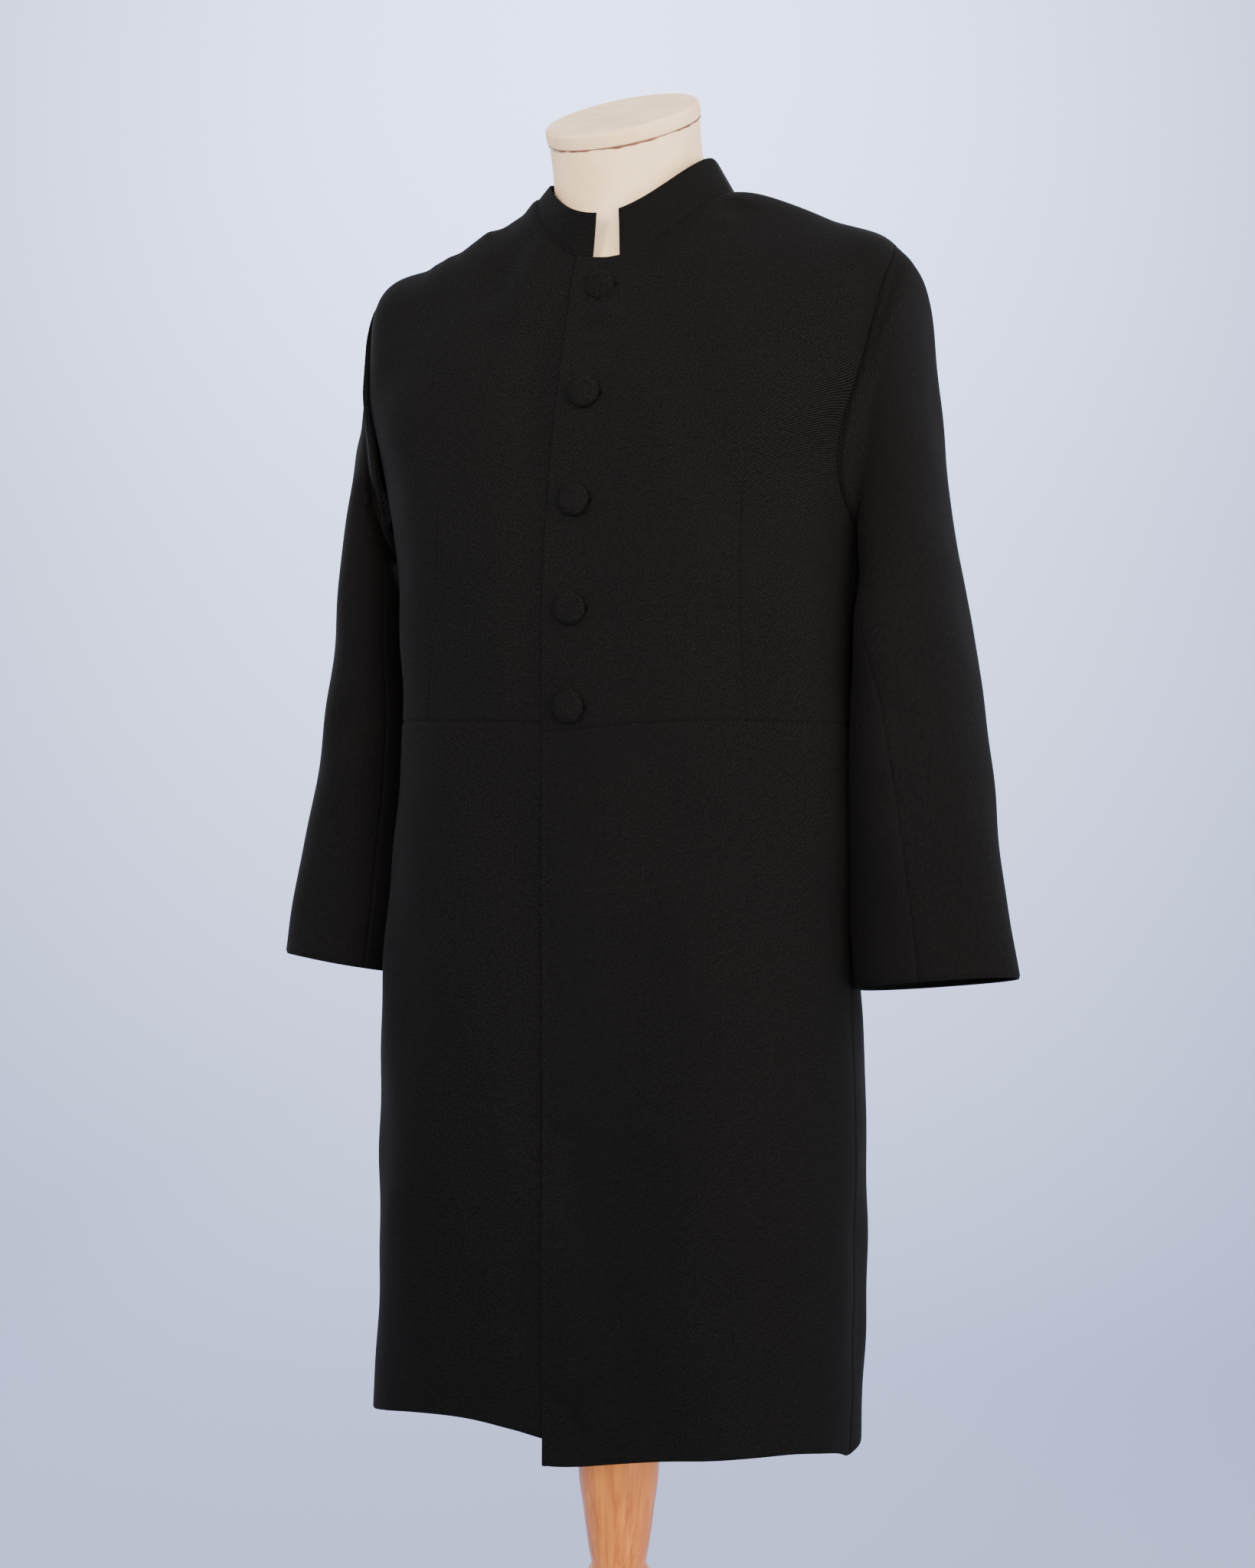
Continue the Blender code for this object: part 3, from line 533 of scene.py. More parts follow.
# Soft troughs (negative) and ridges, each along a line between two points near the cloth, in metres;
# left and right are the wearer's. A crease fades out over a share of its length, a little past its ends.
Crease = namedtuple("Crease", "start end width depth")
creaseEnd = {"past": 0.15, "fade": 0.45}
creases = {
    "right neck pull": Crease((-0.050, -0.040, 1.430), (-0.066, -0.062, 1.372), 0.008, 0.0030),
    "right neck pull, hollow": Crease((-0.072, -0.020, 1.428), (-0.095, -0.062, 1.365), 0.012, -0.0036),
    "right shoulder slope": Crease((-0.078, 0.012, 1.447), (-0.112, 0.000, 1.433), 0.026, -0.0068),
    "right shoulder rise": Crease((-0.148, 0.000, 1.421), (-0.172, 0.000, 1.410), 0.028, 0.0030),
    "right front, beside the lap": Crease((-0.034, -0.078, 1.335), (-0.031, -0.114, 1.110), 0.009, -0.0020),
    "top button sinks": Crease((0.0045, -0.057, 1.373), (0.0105, -0.057, 1.373), 0.012, -0.0030),
    "front drape below the neck": Crease((-0.048, -0.055, 1.385), (-0.070, -0.092, 1.240), 0.014, 0.0026),
    "front drape, hollow": Crease((-0.030, -0.065, 1.350), (-0.052, -0.100, 1.210), 0.014, -0.0026),
    "below the top button": Crease((0.000, -0.066, 1.350), (0.030, -0.068, 1.347), 0.007, 0.0030),
    "beside the top button": Crease((0.022, -0.055, 1.386), (0.052, -0.048, 1.397), 0.006, -0.0034),
    "left sleeve head": Crease((0.222, -0.035, 1.386), (0.224, 0.060, 1.388), 0.013, 0.0042),
    "left shoulder point": Crease((0.109, -0.004, 1.442), (0.101, -0.022, 1.430), 0.009, -0.0030),
    "right shoulder hollow": Crease((-0.165, -0.065, 1.385), (-0.178, -0.080, 1.300), 0.026, -0.0055),
    "left armhole drag": Crease((0.195, -0.075, 1.300), (0.135, -0.098, 1.215), 0.018, 0.0034),
    "left armhole drag, hollow": Crease((0.188, -0.085, 1.245), (0.120, -0.105, 1.160), 0.020, -0.0034),
    "front edge pucker": Crease((-0.012, -0.117, 0.716), (0.020, -0.117, 0.730), 0.006, 0.0018),
    "front edge pucker, hollow": Crease((-0.012, -0.117, 0.704), (0.020, -0.117, 0.717), 0.006, -0.0018),
    "hem corner ripple": Crease((-0.008, -0.118, 0.505), (0.012, -0.118, 0.530), 0.008, 0.0020),
    "hem corner hollow": Crease((-0.004, -0.118, 0.488), (0.020, -0.118, 0.512), 0.007, -0.0022),
    "hem corner second ripple": Crease((0.014, -0.118, 0.488), (0.030, -0.118, 0.505), 0.009, 0.0018),
    "right skirt, by the edge": Crease((-0.035, -0.117, 1.000), (-0.040, -0.117, 0.880), 0.018, -0.0028),
    "left skirt, first fold": Crease((0.082, -0.113, 1.000), (0.055, -0.116, 0.800), 0.024, -0.0032),
    "left skirt, second fold": Crease((0.115, -0.108, 0.900), (0.105, -0.110, 0.560), 0.026, 0.0034),
    "left skirt, by the side": Crease((0.178, -0.060, 0.800), (0.182, -0.062, 0.480), 0.018, -0.0018),
    "right side, beside the sleeve": Crease((-0.184, -0.046, 1.265), (-0.184, -0.046, 0.860), 0.030, -0.0085),
    "left side, beside the sleeve": Crease((0.180, -0.056, 1.175), (0.184, -0.054, 0.885), 0.029, 0.0145),
    "right skirt, by the side": Crease((-0.178, -0.060, 0.780), (-0.182, -0.062, 0.480), 0.020, -0.0030),
    "back skirt, left fold": Crease((0.060, 0.120, 0.980), (0.075, 0.118, 0.470), 0.022, 0.0030),
    "back skirt, right fold": Crease((-0.052, 0.120, 0.960), (-0.085, 0.118, 0.480), 0.024, 0.0028),
    "back skirt, middle hollow": Crease((0.004, 0.125, 0.940), (0.010, 0.122, 0.460), 0.018, -0.0026),
    "back waist drag, left": Crease((0.050, 0.128, 1.075), (0.130, 0.105, 1.040), 0.012, 0.0020),
    "back waist drag, right": Crease((-0.045, 0.128, 1.062), (-0.125, 0.105, 1.048), 0.012, 0.0018),
    "back blade, left": Crease((0.150, 0.105, 1.290), (0.120, 0.120, 1.130), 0.020, -0.0030),
    "back blade, right": Crease((-0.150, 0.105, 1.280), (-0.115, 0.120, 1.120), 0.022, -0.0032),
}

sleeveCreases = {
    "left": {
        "inner front": Crease((0.212, -0.045, 1.170), (0.236, -0.046, 0.900), 0.024, 0.0090),
        "fore hollow": Crease((0.235, -0.050, 1.240), (0.228, -0.046, 1.110), 0.016, -0.0030),
        "head": Crease((0.222, -0.035, 1.386), (0.224, 0.060, 1.388), 0.013, 0.0042),
        "elbow bend, first": Crease((0.222, -0.045, 1.045), (0.262, -0.044, 1.020), 0.011, -0.0024),
        "elbow bend, second": Crease((0.220, -0.044, 1.000), (0.268, -0.046, 0.985), 0.012, 0.0020),
        "elbow back": Crease((0.250, 0.078, 1.040), (0.280, 0.060, 0.990), 0.014, 0.0022),
        "forearm hollow": Crease((0.262, -0.046, 0.985), (0.285, -0.045, 0.850), 0.016, -0.0022),
        "underarm fold": Crease((0.205, 0.040, 1.150), (0.225, -0.040, 1.130), 0.012, -0.0040),
    },
    "right": {
        "head bulge": Crease((-0.238, -0.020, 1.268), (-0.240, 0.040, 1.255), 0.020, 0.0050),
        "underarm fold": Crease((-0.218, -0.044, 1.226), (-0.190, -0.030, 1.194), 0.009, -0.0070),
        "underarm fold, lip": Crease((-0.216, -0.044, 1.191), (-0.188, -0.034, 1.192), 0.006, 0.0040),
        "elbow bend, first": Crease((-0.205, -0.044, 1.040), (-0.250, -0.042, 1.015), 0.011, -0.0026),
        "elbow bend, second": Crease((-0.205, -0.044, 0.995), (-0.255, -0.044, 0.985), 0.012, 0.0022),
        "elbow back": Crease((-0.235, 0.078, 1.030), (-0.265, 0.060, 0.980), 0.014, 0.0022),
        "forearm hollow": Crease((-0.245, -0.045, 0.960), (-0.262, -0.046, 0.850), 0.016, -0.0022),
    },
}

collarCreases = {
    "right end hollow": Crease((-0.010, -0.050, 1.415), (-0.040, -0.040, 1.425), 0.012, 0.0010),
    "back hollow": Crease((0.030, 0.100, 1.495), (-0.030, 0.100, 1.495), 0.014, -0.0012),
}

# A slow unevenness of the whole cloth, so that no stretch of it is perfectly smooth
uneven = {"waves": 26, "longest": 0.30, "shortest": 0.055, "depth": 0.00058, "seed": 11}


def unevenWaves():
    chance = np.random.default_rng(uneven["seed"])
    length = np.geomspace(uneven["longest"], uneven["shortest"], uneven["waves"])
    heading = unit(chance.normal(size=(uneven["waves"], 3)) * (1.0, 1.0, 0.55))
    return heading * (2 * math.pi / length)[:, None], chance.uniform(0, 2 * math.pi, uneven["waves"]), length


waveVectors, wavePhases, waveLengths = unevenWaves()


def unevenness(points):
    total = np.zeros(points.shape[:-1])
    for vector, phase, length in zip(waveVectors, wavePhases, waveLengths):
        total += math.sqrt(length / uneven["longest"]) * np.sin(points @ vector + phase)
    return uneven["depth"] * total


def creased(points, normals, table):
    # moves the cloth along its normals into the soft troughs and ridges of the table
    move = unevenness(points)
    past, fading = creaseEnd["past"], creaseEnd["fade"]
    for crease in table.values():
        start, end = np.array(crease.start), np.array(crease.end)
        line = end - start
        share = np.clip((points - start) @ line / (line @ line), -past, 1 + past)
        away = points - (start + share[..., None] * line)
        across = np.sum(away**2, axis=-1)
        fade = smoothStep((share + past) / fading) * smoothStep((1 + past - share) / fading)
        move += crease.depth * fade * np.exp(-across / (2 * crease.width**2))
    return points + normals * move[..., None]


def walked(points, axis):
    # distance along the grid's rows or columns
    step = np.linalg.norm(np.diff(points, axis=axis), axis=-1)
    start = np.zeros_like(np.take(step, [0], axis=axis))
    return np.cumsum(np.concatenate([start, step], axis=axis), axis=axis)


def edgeDistances(points):
    # how far each point of the grid lies from its four edges, measured on the cloth
    across, up = walked(points, 1), walked(points, 0)
    return {"left": across, "right": across[:, -1:] - across, "bottom": up, "top": up[-1:] - up}


def seamed(points, normals, edges, fadeIn=0.0, depth=seam["dip"]):
    # sinks the cloth beside each sewn edge, as a pressed seam does
    away = edgeDistances(points)
    move = np.zeros(points.shape[:2])
    for edge in edges.split():
        dip = depth * bell(away[edge], seam["width"])
        if fadeIn and edge in ("left", "right"):
            dip = dip * smoothStep((away["bottom"] - fadeIn / 2) / fadeIn)
        move = np.maximum(move, dip)
    return points - normals * move[..., None]


def rolled(points, normals, edges):
    # turns a free edge softly inward, as cloth folded over a facing does
    away = edgeDistances(points)
    move = np.zeros(points.shape[:2])
    for edge in edges.split():
        near = np.clip(1 - away[edge] / seam["rollWidth"], 0, 1)
        move = np.maximum(move, seam["roll"] * (1 - np.sqrt(1 - near**2)))
    return points - normals * move[..., None]


def startPiece(name, addShape, **settings):
    # a primitive, named and alone selected, from which the piece is shaped
    bpy.ops.object.select_all(action="DESELECT")
    addShape(**settings)
    piece = bpy.context.object
    piece.name = piece.data.name = name
    return piece


def smoothBy(angle):
    bpy.ops.object.shade_smooth_by_angle(angle=math.radians(smoothAngle[angle]))


def handOver(piece, slot, *nodes):
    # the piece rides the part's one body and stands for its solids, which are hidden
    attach(piece, "root")
    if nodes:
        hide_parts(*nodes)


def clothPiece(name, points, normals, thickness, node):
    # a grid is added, laid on the coat's form, and given the cloth's thickness
    rows, columns = points.shape[:2]
    piece = startPiece(
        name, bpy.ops.mesh.primitive_grid_add, x_subdivisions=columns - 1, y_subdivisions=rows - 1, size=1
    )
    mesh = piece.data
    mesh.vertices.foreach_set("co", points.reshape(-1))
    across, up = walked(points, 1), walked(points, 0)
    cut = stacked(across, up).reshape(-1, 2)
    corners = np.empty(len(mesh.loops), dtype=np.int32)
    mesh.loops.foreach_get("vertex_index", corners)
    mesh.uv_layers[0].name = "cut"
    mesh.uv_layers[0].data.foreach_set("uv", cut[corners].reshape(-1))
    mesh.update()
    middle = mesh.polygons[(rows // 2) * (columns - 1) + columns // 2]
    if middle.normal.dot(Vector(normals[rows // 2, columns // 2])) < 0:
        bpy.ops.object.mode_set(mode="EDIT")
        bpy.ops.mesh.select_all(action="SELECT")
        bpy.ops.mesh.flip_normals()
        bpy.ops.object.mode_set(mode="OBJECT")
    mesh.materials.append(coatWool)
    wall = piece.modifiers.new("cloth", "SOLIDIFY")
    wall.thickness = thickness
    wall.offset = -1
    bpy.ops.object.modifier_apply(modifier=wall.name)
    smoothBy("cloth")
    handOver(piece, "coat_cloth", node)


def lapped(points, normals, over):
    # the right front runs behind the left one, and the left hem corner hangs lower
    if over:
        drop = closure["hemDrop"] * bell(points[..., 0] - lapEdge, closure["hemReach"])
        top, hem = bodySections["waist seam"].frontZ, bodySections["hem"].frontZ
        points = points.copy()
        points[..., 2] -= drop * np.clip((top - points[..., 2]) / (top - hem), 0, 1) ** 2
        return points
    ramp = (points[..., 0] - lapEdge + closure["ramp"] + closure["lead"]) / closure["ramp"]
    return points - normals * (smoothStep(ramp) * (coat["cloth"] + closure["clearance"]))[..., None]


def neckRise(degrees, level):
    # how much higher than the plain round the cloth lies beside the neck
    turn = 1 - np.cos(np.radians(degrees - closure["neckRiseAt"]))
    near = np.exp(-turn / closure["neckRiseReach"]) * (1 - smoothStep(level / closure["neckRiseLevels"]))
    return stacked(closure["neckIn"] * near, 0 * near, closure["neckRise"] * near)


def neckGroove(points, normals, neckColumns):
    # the bodice's neck edge sinks into the collar seam
    groove = closure["neckGroove"] * bell(edgeDistances(points)["top"], closure["neckGrooveWidth"])
    groove[:, neckColumns + 1:] = 0
    return points - normals * groove[..., None]


def waistLine(points, word):
    # the waist seam bows a little, and the left front's ends lower than the right one's at the closure
    xs, shifts = zip(*closure["waist"][word])
    near = bell(points[..., 2] - closure["waistHeight"], closure["waistReach"])
    moved = points.copy()
    moved[..., 2] += np.interp(points[..., 0], xs, shifts) * near
    return moved


def dartTurn(level, word):
    start, end = dart[word]
    return start + (end - start) * (level - dart["point"]) / (levelOf["waist seam"] - dart["point"])


def alongDart(places, column, side):
    # slides the columns round the form until one of them is the dart
    share = np.interp(np.arange(places.shape[1]), (0, column, places.shape[1] - 1), (0, 1, 0))
    level = places[:, column, 1]
    near = smoothStep((level - dart["point"] + dart["lead"]) / dart["lead"])
    shift = (dartTurn(level, sideWord[side]) * side - places[:, column, 0]) * near
    return stacked(places[..., 0] + shift[:, None] * share[None], places[..., 1])


def dartDip(points, normals, level, column):
    across = walked(points, 1)
    away = np.abs(across - across[:, column:column + 1])
    depth = smoothStep((level[:, column:column + 1] - dart["point"]) / dart["fade"])
    return points - normals * (dart["dip"] * depth * bell(away, dart["width"]))[..., None]


def dimples(depth, away, width, along, spacing):
    # how deep a row of small hand stitches sinks, by the distances from the row and along it
    beat = 0.5 + 0.5 * np.cos(2 * math.pi * along / spacing)
    return depth * bell(away, width) * beat**2


def frontEdge(points, normals, depth):
    # the left front's edge stands a little proud, with a row of small dimples just inside it
    rise = closure["edgeRise"] * bell(walked(points, 1), closure["edgeRiseWidth"])
    points = points + normals * rise[..., None]
    away = edgeDistances(points)
    fromRow, along = away["left"] - edgeStitch["inset"], away["bottom"][:, :1]
    sunk = dimples(depth, fromRow, edgeStitch["width"], along, edgeStitch["spacing"])
    return points - normals * sunk[..., None]


def bodiceRows():
    low = closer(bodice["lowRows"]) * bodice["sideRows"]
    return joined(low, bodice["sideRows"] + closer(bodice["highRows"]) * bodice["armholeRows"])


def bodiceColumns():
    # the neckline and the shoulder meet on one column, and on a front the dart runs down from it
    neck = bodice["neckColumns"] / (bodice["neckColumns"] + bodice["shoulderColumns"])
    first = round(bodice["columns"] * neck)
    lines = joined(closer(first) * neck, neck + closer(bodice["columns"] - first) * (1 - neck))
    return lines, neck, first


def spannedPlaces(rows, lines, inner, outer, top):
    # straight rows between two edges, bent more and more until the last is the top edge
    grid = inner[:, None] + (outer - inner)[:, None] * lines[None, :, None]
    rise = np.clip((rows - bodice["sideRows"]) / bodice["armholeRows"], 0, 1) ** bodice["topPull"]
    return grid + (top - grid[-1]) * rise[:, None, None]


def outerEdge(rows, notches):
    level = np.interp(rows, (0, bodice["sideRows"]), (levelOf["waist seam"], levelOf["underarm"]))
    arm = alongNotches(notches, 1 - np.clip((rows - bodice["sideRows"]) / bodice["armholeRows"], 0, 1))
    sideSeam = stacked(np.full(len(rows), 90.0), level)
    return np.where((rows < bodice["sideRows"])[:, None], sideSeam, arm)


def innerLevels(rows):
    stops = (0, bodice["sideRows"], bodice["sideRows"] + bodice["armholeRows"])
    return np.interp(rows, stops, (levelOf["waist seam"], bodice["chestLevel"], 0))


def innerTurns(level, side, front):
    # the degrees of a panel's inner edge, which is its front edge or the centre back
    if front:
        return edgeDegrees(lapEdge if side == 1 else lapEdge + closure["underlap"], level)
    return np.full(len(level), 180.0 * side)


def bodicePanel(side, front):
    word = sideWord[side]
    rows, (lines, neck, column) = bodiceRows(), bodiceColumns()
    level = innerLevels(rows)
    inner = stacked(innerTurns(level, side, front), level)
    outer = outerEdge(rows, armholeFront if front else armholeBack) * (side, 1)
    start = inner[-1, 0]
    turn = np.where(lines <= neck, start + (90 * side - start) * lines / neck, 90.0 * side)
    tip = levelOf["shoulder tip"] * np.clip((lines - neck) / (1 - neck), 0, 1)
    places = spannedPlaces(rows, lines, inner, outer, stacked(turn, tip))
    if front:
        places = alongDart(places, column, side)
    points, normals = bodyPoint(places), bodyNormal(places)
    points = neckGroove(points + neckRise(places[..., 0], places[..., 1]), normals, column)
    if front:
        points = lapped(points, normals, side == 1)
    points = waistLine(points, word if front else word + "Back")
    points = creased(points, normals, creases)
    if front:
        points = dartDip(points, normals, places[..., 1], column)
    points = seamed(points, normals, "right top bottom" if front else "left right top bottom")
    if front and side == 1:
        points = frontEdge(points, normals, edgeStitch["upperDepth"])
    kind, node = ("bodiceFront", "bodice_front") if front else ("bodiceBack", "bodice_back")
    clothPiece(f"{kind}.{word}", points, normals, coat["cloth"], f"{node}_{word}")


def skirtPanel(side, front):
    word = sideWord[side]
    rows = closer(skirt["frontRows"] if front and side == 1 else skirt["rows"], skirt["closeRows"])
    lines = closer(skirt["columns"])
    level = levelOf["hem"] + (levelOf["waist seam"] - levelOf["hem"]) * rows
    inner = innerTurns(level, side, front)
    turn = inner[:, None] + (90 * side - inner)[:, None] * lines[None]
    places = stacked(turn, np.broadcast_to(level[:, None], turn.shape))
    points, normals = bodyPoint(places), bodyNormal(places)
    if front:
        points = lapped(points, normals, side == 1)
        hem = skirt[word + "Hem"]
        hang = smoothThrough(hem, lines * (len(hem) - 1))
        points[..., 2] += hang[None] * (1 - rows[:, None]) ** skirt["hangPower"]
    points = waistLine(points, word if front else word + "Back")
    points = creased(points, normals, creases)
    points = seamed(points, normals, "right top" if front else "left right top")
    points = rolled(points, normals, "bottom")
    if front and side == 1:
        points = frontEdge(points, normals, edgeStitch["depth"])
    kind, node = ("skirtFront", "skirt_front") if front else ("skirtBack", "skirt_back")
    clothPiece(f"{kind}.{word}", points, normals, coat["cloth"], f"{node}_{word}")


for side in (1, -1):
    bodicePanel(side, True)
    bodicePanel(side, False)
    skirtPanel(side, True)
    skirtPanel(side, False)


def sleeveAxes(ring):
    middle = np.array([(ring.outerX + ring.innerX) / 2, ring.midY, (ring.outerZ + ring.innerZ) / 2])
    outward = np.array([(ring.outerX - ring.innerX) / 2, 0, (ring.outerZ - ring.innerZ) / 2])
    return middle, outward, np.array([0, -ring.halfDepth, ring.lift])


def sleeveRing(ring, turns):
    middle, outward, forward = sleeveAxes(ring)
    turn, square = np.radians(turns), ring.squareness
    out, fore = np.cos(turn), np.sin(turn)
    reach = (np.abs(out) ** square + np.abs(fore) ** square) ** (-1 / square)
    return middle + (out * reach)[:, None] * outward + (fore * reach)[:, None] * forward


def ownTurns(ring, points):
    # the degrees of a section at which these points lie, seen along the sleeve
    middle, outward, forward = sleeveAxes(ring)
    out = (points - middle) @ outward / (outward @ outward)
    fore = (points - middle) @ forward / (forward @ forward)
    return np.degrees(np.unwrap(np.arctan2(fore, out)))


def armholePlaces(stops):
    # down the front of the armhole from the shoulder and up the back again, 9 stops each way
    stops = np.mod(stops, 2 * bodice["armholeRows"])
    front = alongNotches(armholeFront, np.clip(stops / bodice["armholeRows"], 0, 1))
    back = alongNotches(armholeBack, np.clip(2 - stops / bodice["armholeRows"], 0, 1))
    return np.where((stops <= bodice["armholeRows"])[:, None], front, back)


def sleevePair(side):
    word = sideWord[side]
    count, under = 2 * bodice["armholeRows"], bodice["armholeRows"]
    fore, hind = sleeve["foreSeam"], count - sleeve["hindSeam"]
    topStops = hind + closer(sleeve["topColumns"]) * (count + fore - hind)
    underStops = count + fore + closer(sleeve["underColumns"]) * (hind - fore)
    stops = np.mod(joined(topStops, underStops)[:-1], count)
    order = np.argsort(stops)
    sortedStops = stops[order]

    def armholePoint(at):
        return bodyPoint(armholePlaces(at) * (side, 1))

    start, facing = armholePoint(sortedStops), bodyNormal(armholePlaces(sortedStops) * (side, 1))
    along = armholePoint(sortedStops + 1) - armholePoint(sortedStops - 1)
    away = unit(np.cross(facing, along)) * side
    low = np.interp(sortedStops, (0, under / 2, under, count - under / 2, count), sleeve["underarmShares"])
    rise = (sleeve["headUp"] + (sleeve["underarmUp"] - sleeve["headUp"]) * low)[:, None]
    rings = [start, start + away * sleeve["headOut"][word] + facing * rise]
    table = sleeveSections[word]
    own = ownTurns(table["head"], start * (side, 1, 1))
    for ring, share in zip(table.values(), sleeve["headShares"]):
        seams = (0, ring.foreSeam, 180, ring.hindSeam, 360)
        even = np.interp(sortedStops, (0, fore, under, hind, count), seams)
        rings.append(sleeveRing(ring, own * share + even * (1 - share)) * (side, 1, 1))
    rings = np.array(rings)
    swell = np.clip(sleeve["swell"] * np.abs(np.sin(math.pi * sortedStops / under)), 0, 1)
    inside = bell(sortedStops - under - sleeve["insideAt"], sleeve["insideReach"])
    rings[..., 1] -= np.array(sleeve["frontFill"])[:, None] * np.where(sortedStops <= under, swell, 0)
    rings[..., 1] += np.array(sleeve["backFill"][word])[:, None] * np.where(sortedStops > under, swell, 0)
    rings[..., 0] -= np.array(sleeve["innerFill"])[:, None] * inside * side
    levels = np.concatenate([sleeve["headRows"], np.linspace(1, len(rings) - 1, sleeve["rows"])])
    grid = np.empty((len(levels), len(stops), 3))
    grid[:, order] = smoothThrough(rings, levels)
    normals = unit(np.cross(np.roll(grid, -1, axis=1) - np.roll(grid, 1, axis=1), np.gradient(grid, axis=0)))
    outward = np.sum(normals[-1] * (grid[-1] - grid[-1].mean(axis=0)), axis=-1).mean()
    normals *= np.sign(outward)
    faced = np.empty_like(start)
    faced[order] = facing
    normals[0] = faced
    for step in range(sleeve["softenings"]):
        normals[1:-1] = unit(normals[:-2] + 2 * normals[1:-1] + normals[2:])
    grid = creased(grid, normals, sleeveCreases[word])
    last = sleeve["topColumns"]
    for kind, node, columns in (
        ("topSleeve", "top_sleeve", list(range(0, last + 1))),
        ("underSleeve", "under_sleeve", list(range(last, len(stops))) + [0]),
    ):
        points, faces = grid[:, columns], normals[:, columns]
        points = seamed(points, faces, "left right", seam["sleeveFade"], seam["sleeveDip"])
        points = seamed(points, faces, "bottom")
        points = rolled(points, faces, "top")
        clothPiece(f"{kind}.{word}", points, faces, coat["cloth"], f"{node}_{word}")


for side in (1, -1):
    sleevePair(side)
print("sleeves made")


def collarBand():
    neck = bodySections["neck seam"]
    ends = []
    for offset in (collar["gap"] / 2, -collar["gap"] / 2):
        ends.append(math.degrees(math.asin((closure["x"] + offset - neck.shiftX) / neck.halfWidth)))
    turns = ends[0] + (360 + ends[1] - ends[0]) * closer(collar["columns"], collar["closeColumns"])
    foot = bodyPoint(stacked(turns, np.zeros(len(turns))))
    flare = np.exp(-(1 - np.cos(np.radians(turns - collar["flareAt"]))) / collar["flareReach"])[:, None]
    foot += neckRise(turns, np.zeros(len(turns)))
    brim = onSection(np.array([collarTop] * len(turns)), turns)
    brim[:, 2] += collar["lean"] * (np.sin(np.radians(turns)) - collar["leanMiddle"])
    brim -= flare * (collar["flare"], 0, -collar["flareRise"])
    rise = closer(collar["rows"], collar["closeRows"])[:, None, None]
    tucked = foot - unit(brim - foot) * collar["tuck"]
    grid = tucked + (brim - tucked) * rise
    normals = unit(np.cross(np.gradient(grid, axis=1), np.gradient(grid, axis=0)))
    grid = creased(grid, normals, collarCreases)
    grid = rolled(grid, normals, "left right top")
    away = edgeDistances(grid)
    toEnd, toTop = np.minimum(away["left"], away["right"]), away["top"]
    along = np.where(toEnd < toTop, away["bottom"], away["left"])
    fromRow = np.minimum(toEnd, toTop) - collar["stitchInset"]
    sunk = dimples(collar["stitchDepth"], fromRow, collar["stitchWidth"], along, collar["stitchSpacing"])
    grid = grid - normals * sunk[..., None]
    clothPiece("collarStand", grid, normals, coat["collarCloth"], "collar_stand")


collarBand()
print("collar made")


def frontSpots(xs, heights):
    # the places and the outward directions on the left front at these x and heights
    levels = np.linspace(0, levelOf["waist seam"], fineSteps)
    places = []
    for x, height in zip(xs, heights):
        line = bodyPoint(stacked(edgeDegrees(x, levels), levels))
        level = np.interp(-height, -line[:, 2], levels)
        places.append((edgeDegrees(x, np.array([level]))[0], level))
    places = np.array(places)
    normals = bodyNormal(places)
    return creased(bodyPoint(places), normals, creases), normals


def settle(piece):
    # gives the finished piece its place in its own mesh
    bpy.ops.object.select_all(action="DESELECT")
    piece.select_set(True)
    bpy.context.view_layer.objects.active = piece
    bpy.ops.object.transform_apply(location=True, rotation=True, scale=True)


def turnedPiece(name, profile, steps, material, angle):
    # a circle is drawn out and resized down the profile, as on a lathe, then closed at both ends
    radius, height = profile[0]
    piece = startPiece(
        name, bpy.ops.mesh.primitive_circle_add,
        vertices=steps, radius=radius, location=(0, 0, height), fill_type="NGON",
    )
    bpy.ops.object.mode_set(mode="EDIT")
    bpy.ops.mesh.select_mode(type="EDGE")
    bpy.ops.mesh.select_all(action="SELECT")
    for nextRadius, nextHeight in profile[1:]:
        bpy.ops.mesh.extrude_edges_move(TRANSFORM_OT_translate={"value": (0, 0, nextHeight - height)})
        grow = nextRadius / radius
        bpy.ops.transform.resize(value=(grow, grow, 1), center_override=(0, 0, nextHeight))
        radius, height = nextRadius, nextHeight
    bpy.ops.mesh.edge_face_add()
    bpy.ops.mesh.select_all(action="SELECT")
    bpy.ops.mesh.normals_make_consistent(inside=False)
    bpy.ops.object.mode_set(mode="OBJECT")
    settle(piece)
    piece.data.materials.append(material)
    smoothBy(angle)
    return piece


def softProfile(profile, count):
    # a smooth line through the turned profile's stops
    rows = np.array(profile)
    line = smoothThrough(rows, np.linspace(0, len(rows) - 1, count))
    return [(max(float(r), thinnestTurning), float(z)) for r, z in line]


def buttonPiece(number, height):
    piece = turnedPiece(f"button.{number}", softProfile(button["profile"], 40), 64, buttonWool, "rounded")
    places, outs = frontSpots([closure["x"]], [height])
    out = outs[0]
    tilt = math.radians(button["tilts"][number - 1])
    piece.location = Vector(places[0]) + Vector(out) * button["seat"]
    turn = math.atan2(out[0], -out[1]) + tilt
    nod = math.radians(button["nods"][number - 1])
    piece.rotation_euler = (math.atan2(math.hypot(out[0], out[1]), out[2]) + nod, 0, turn)
    settle(piece)
    handOver(piece, "button_cover", f"button_{number}")


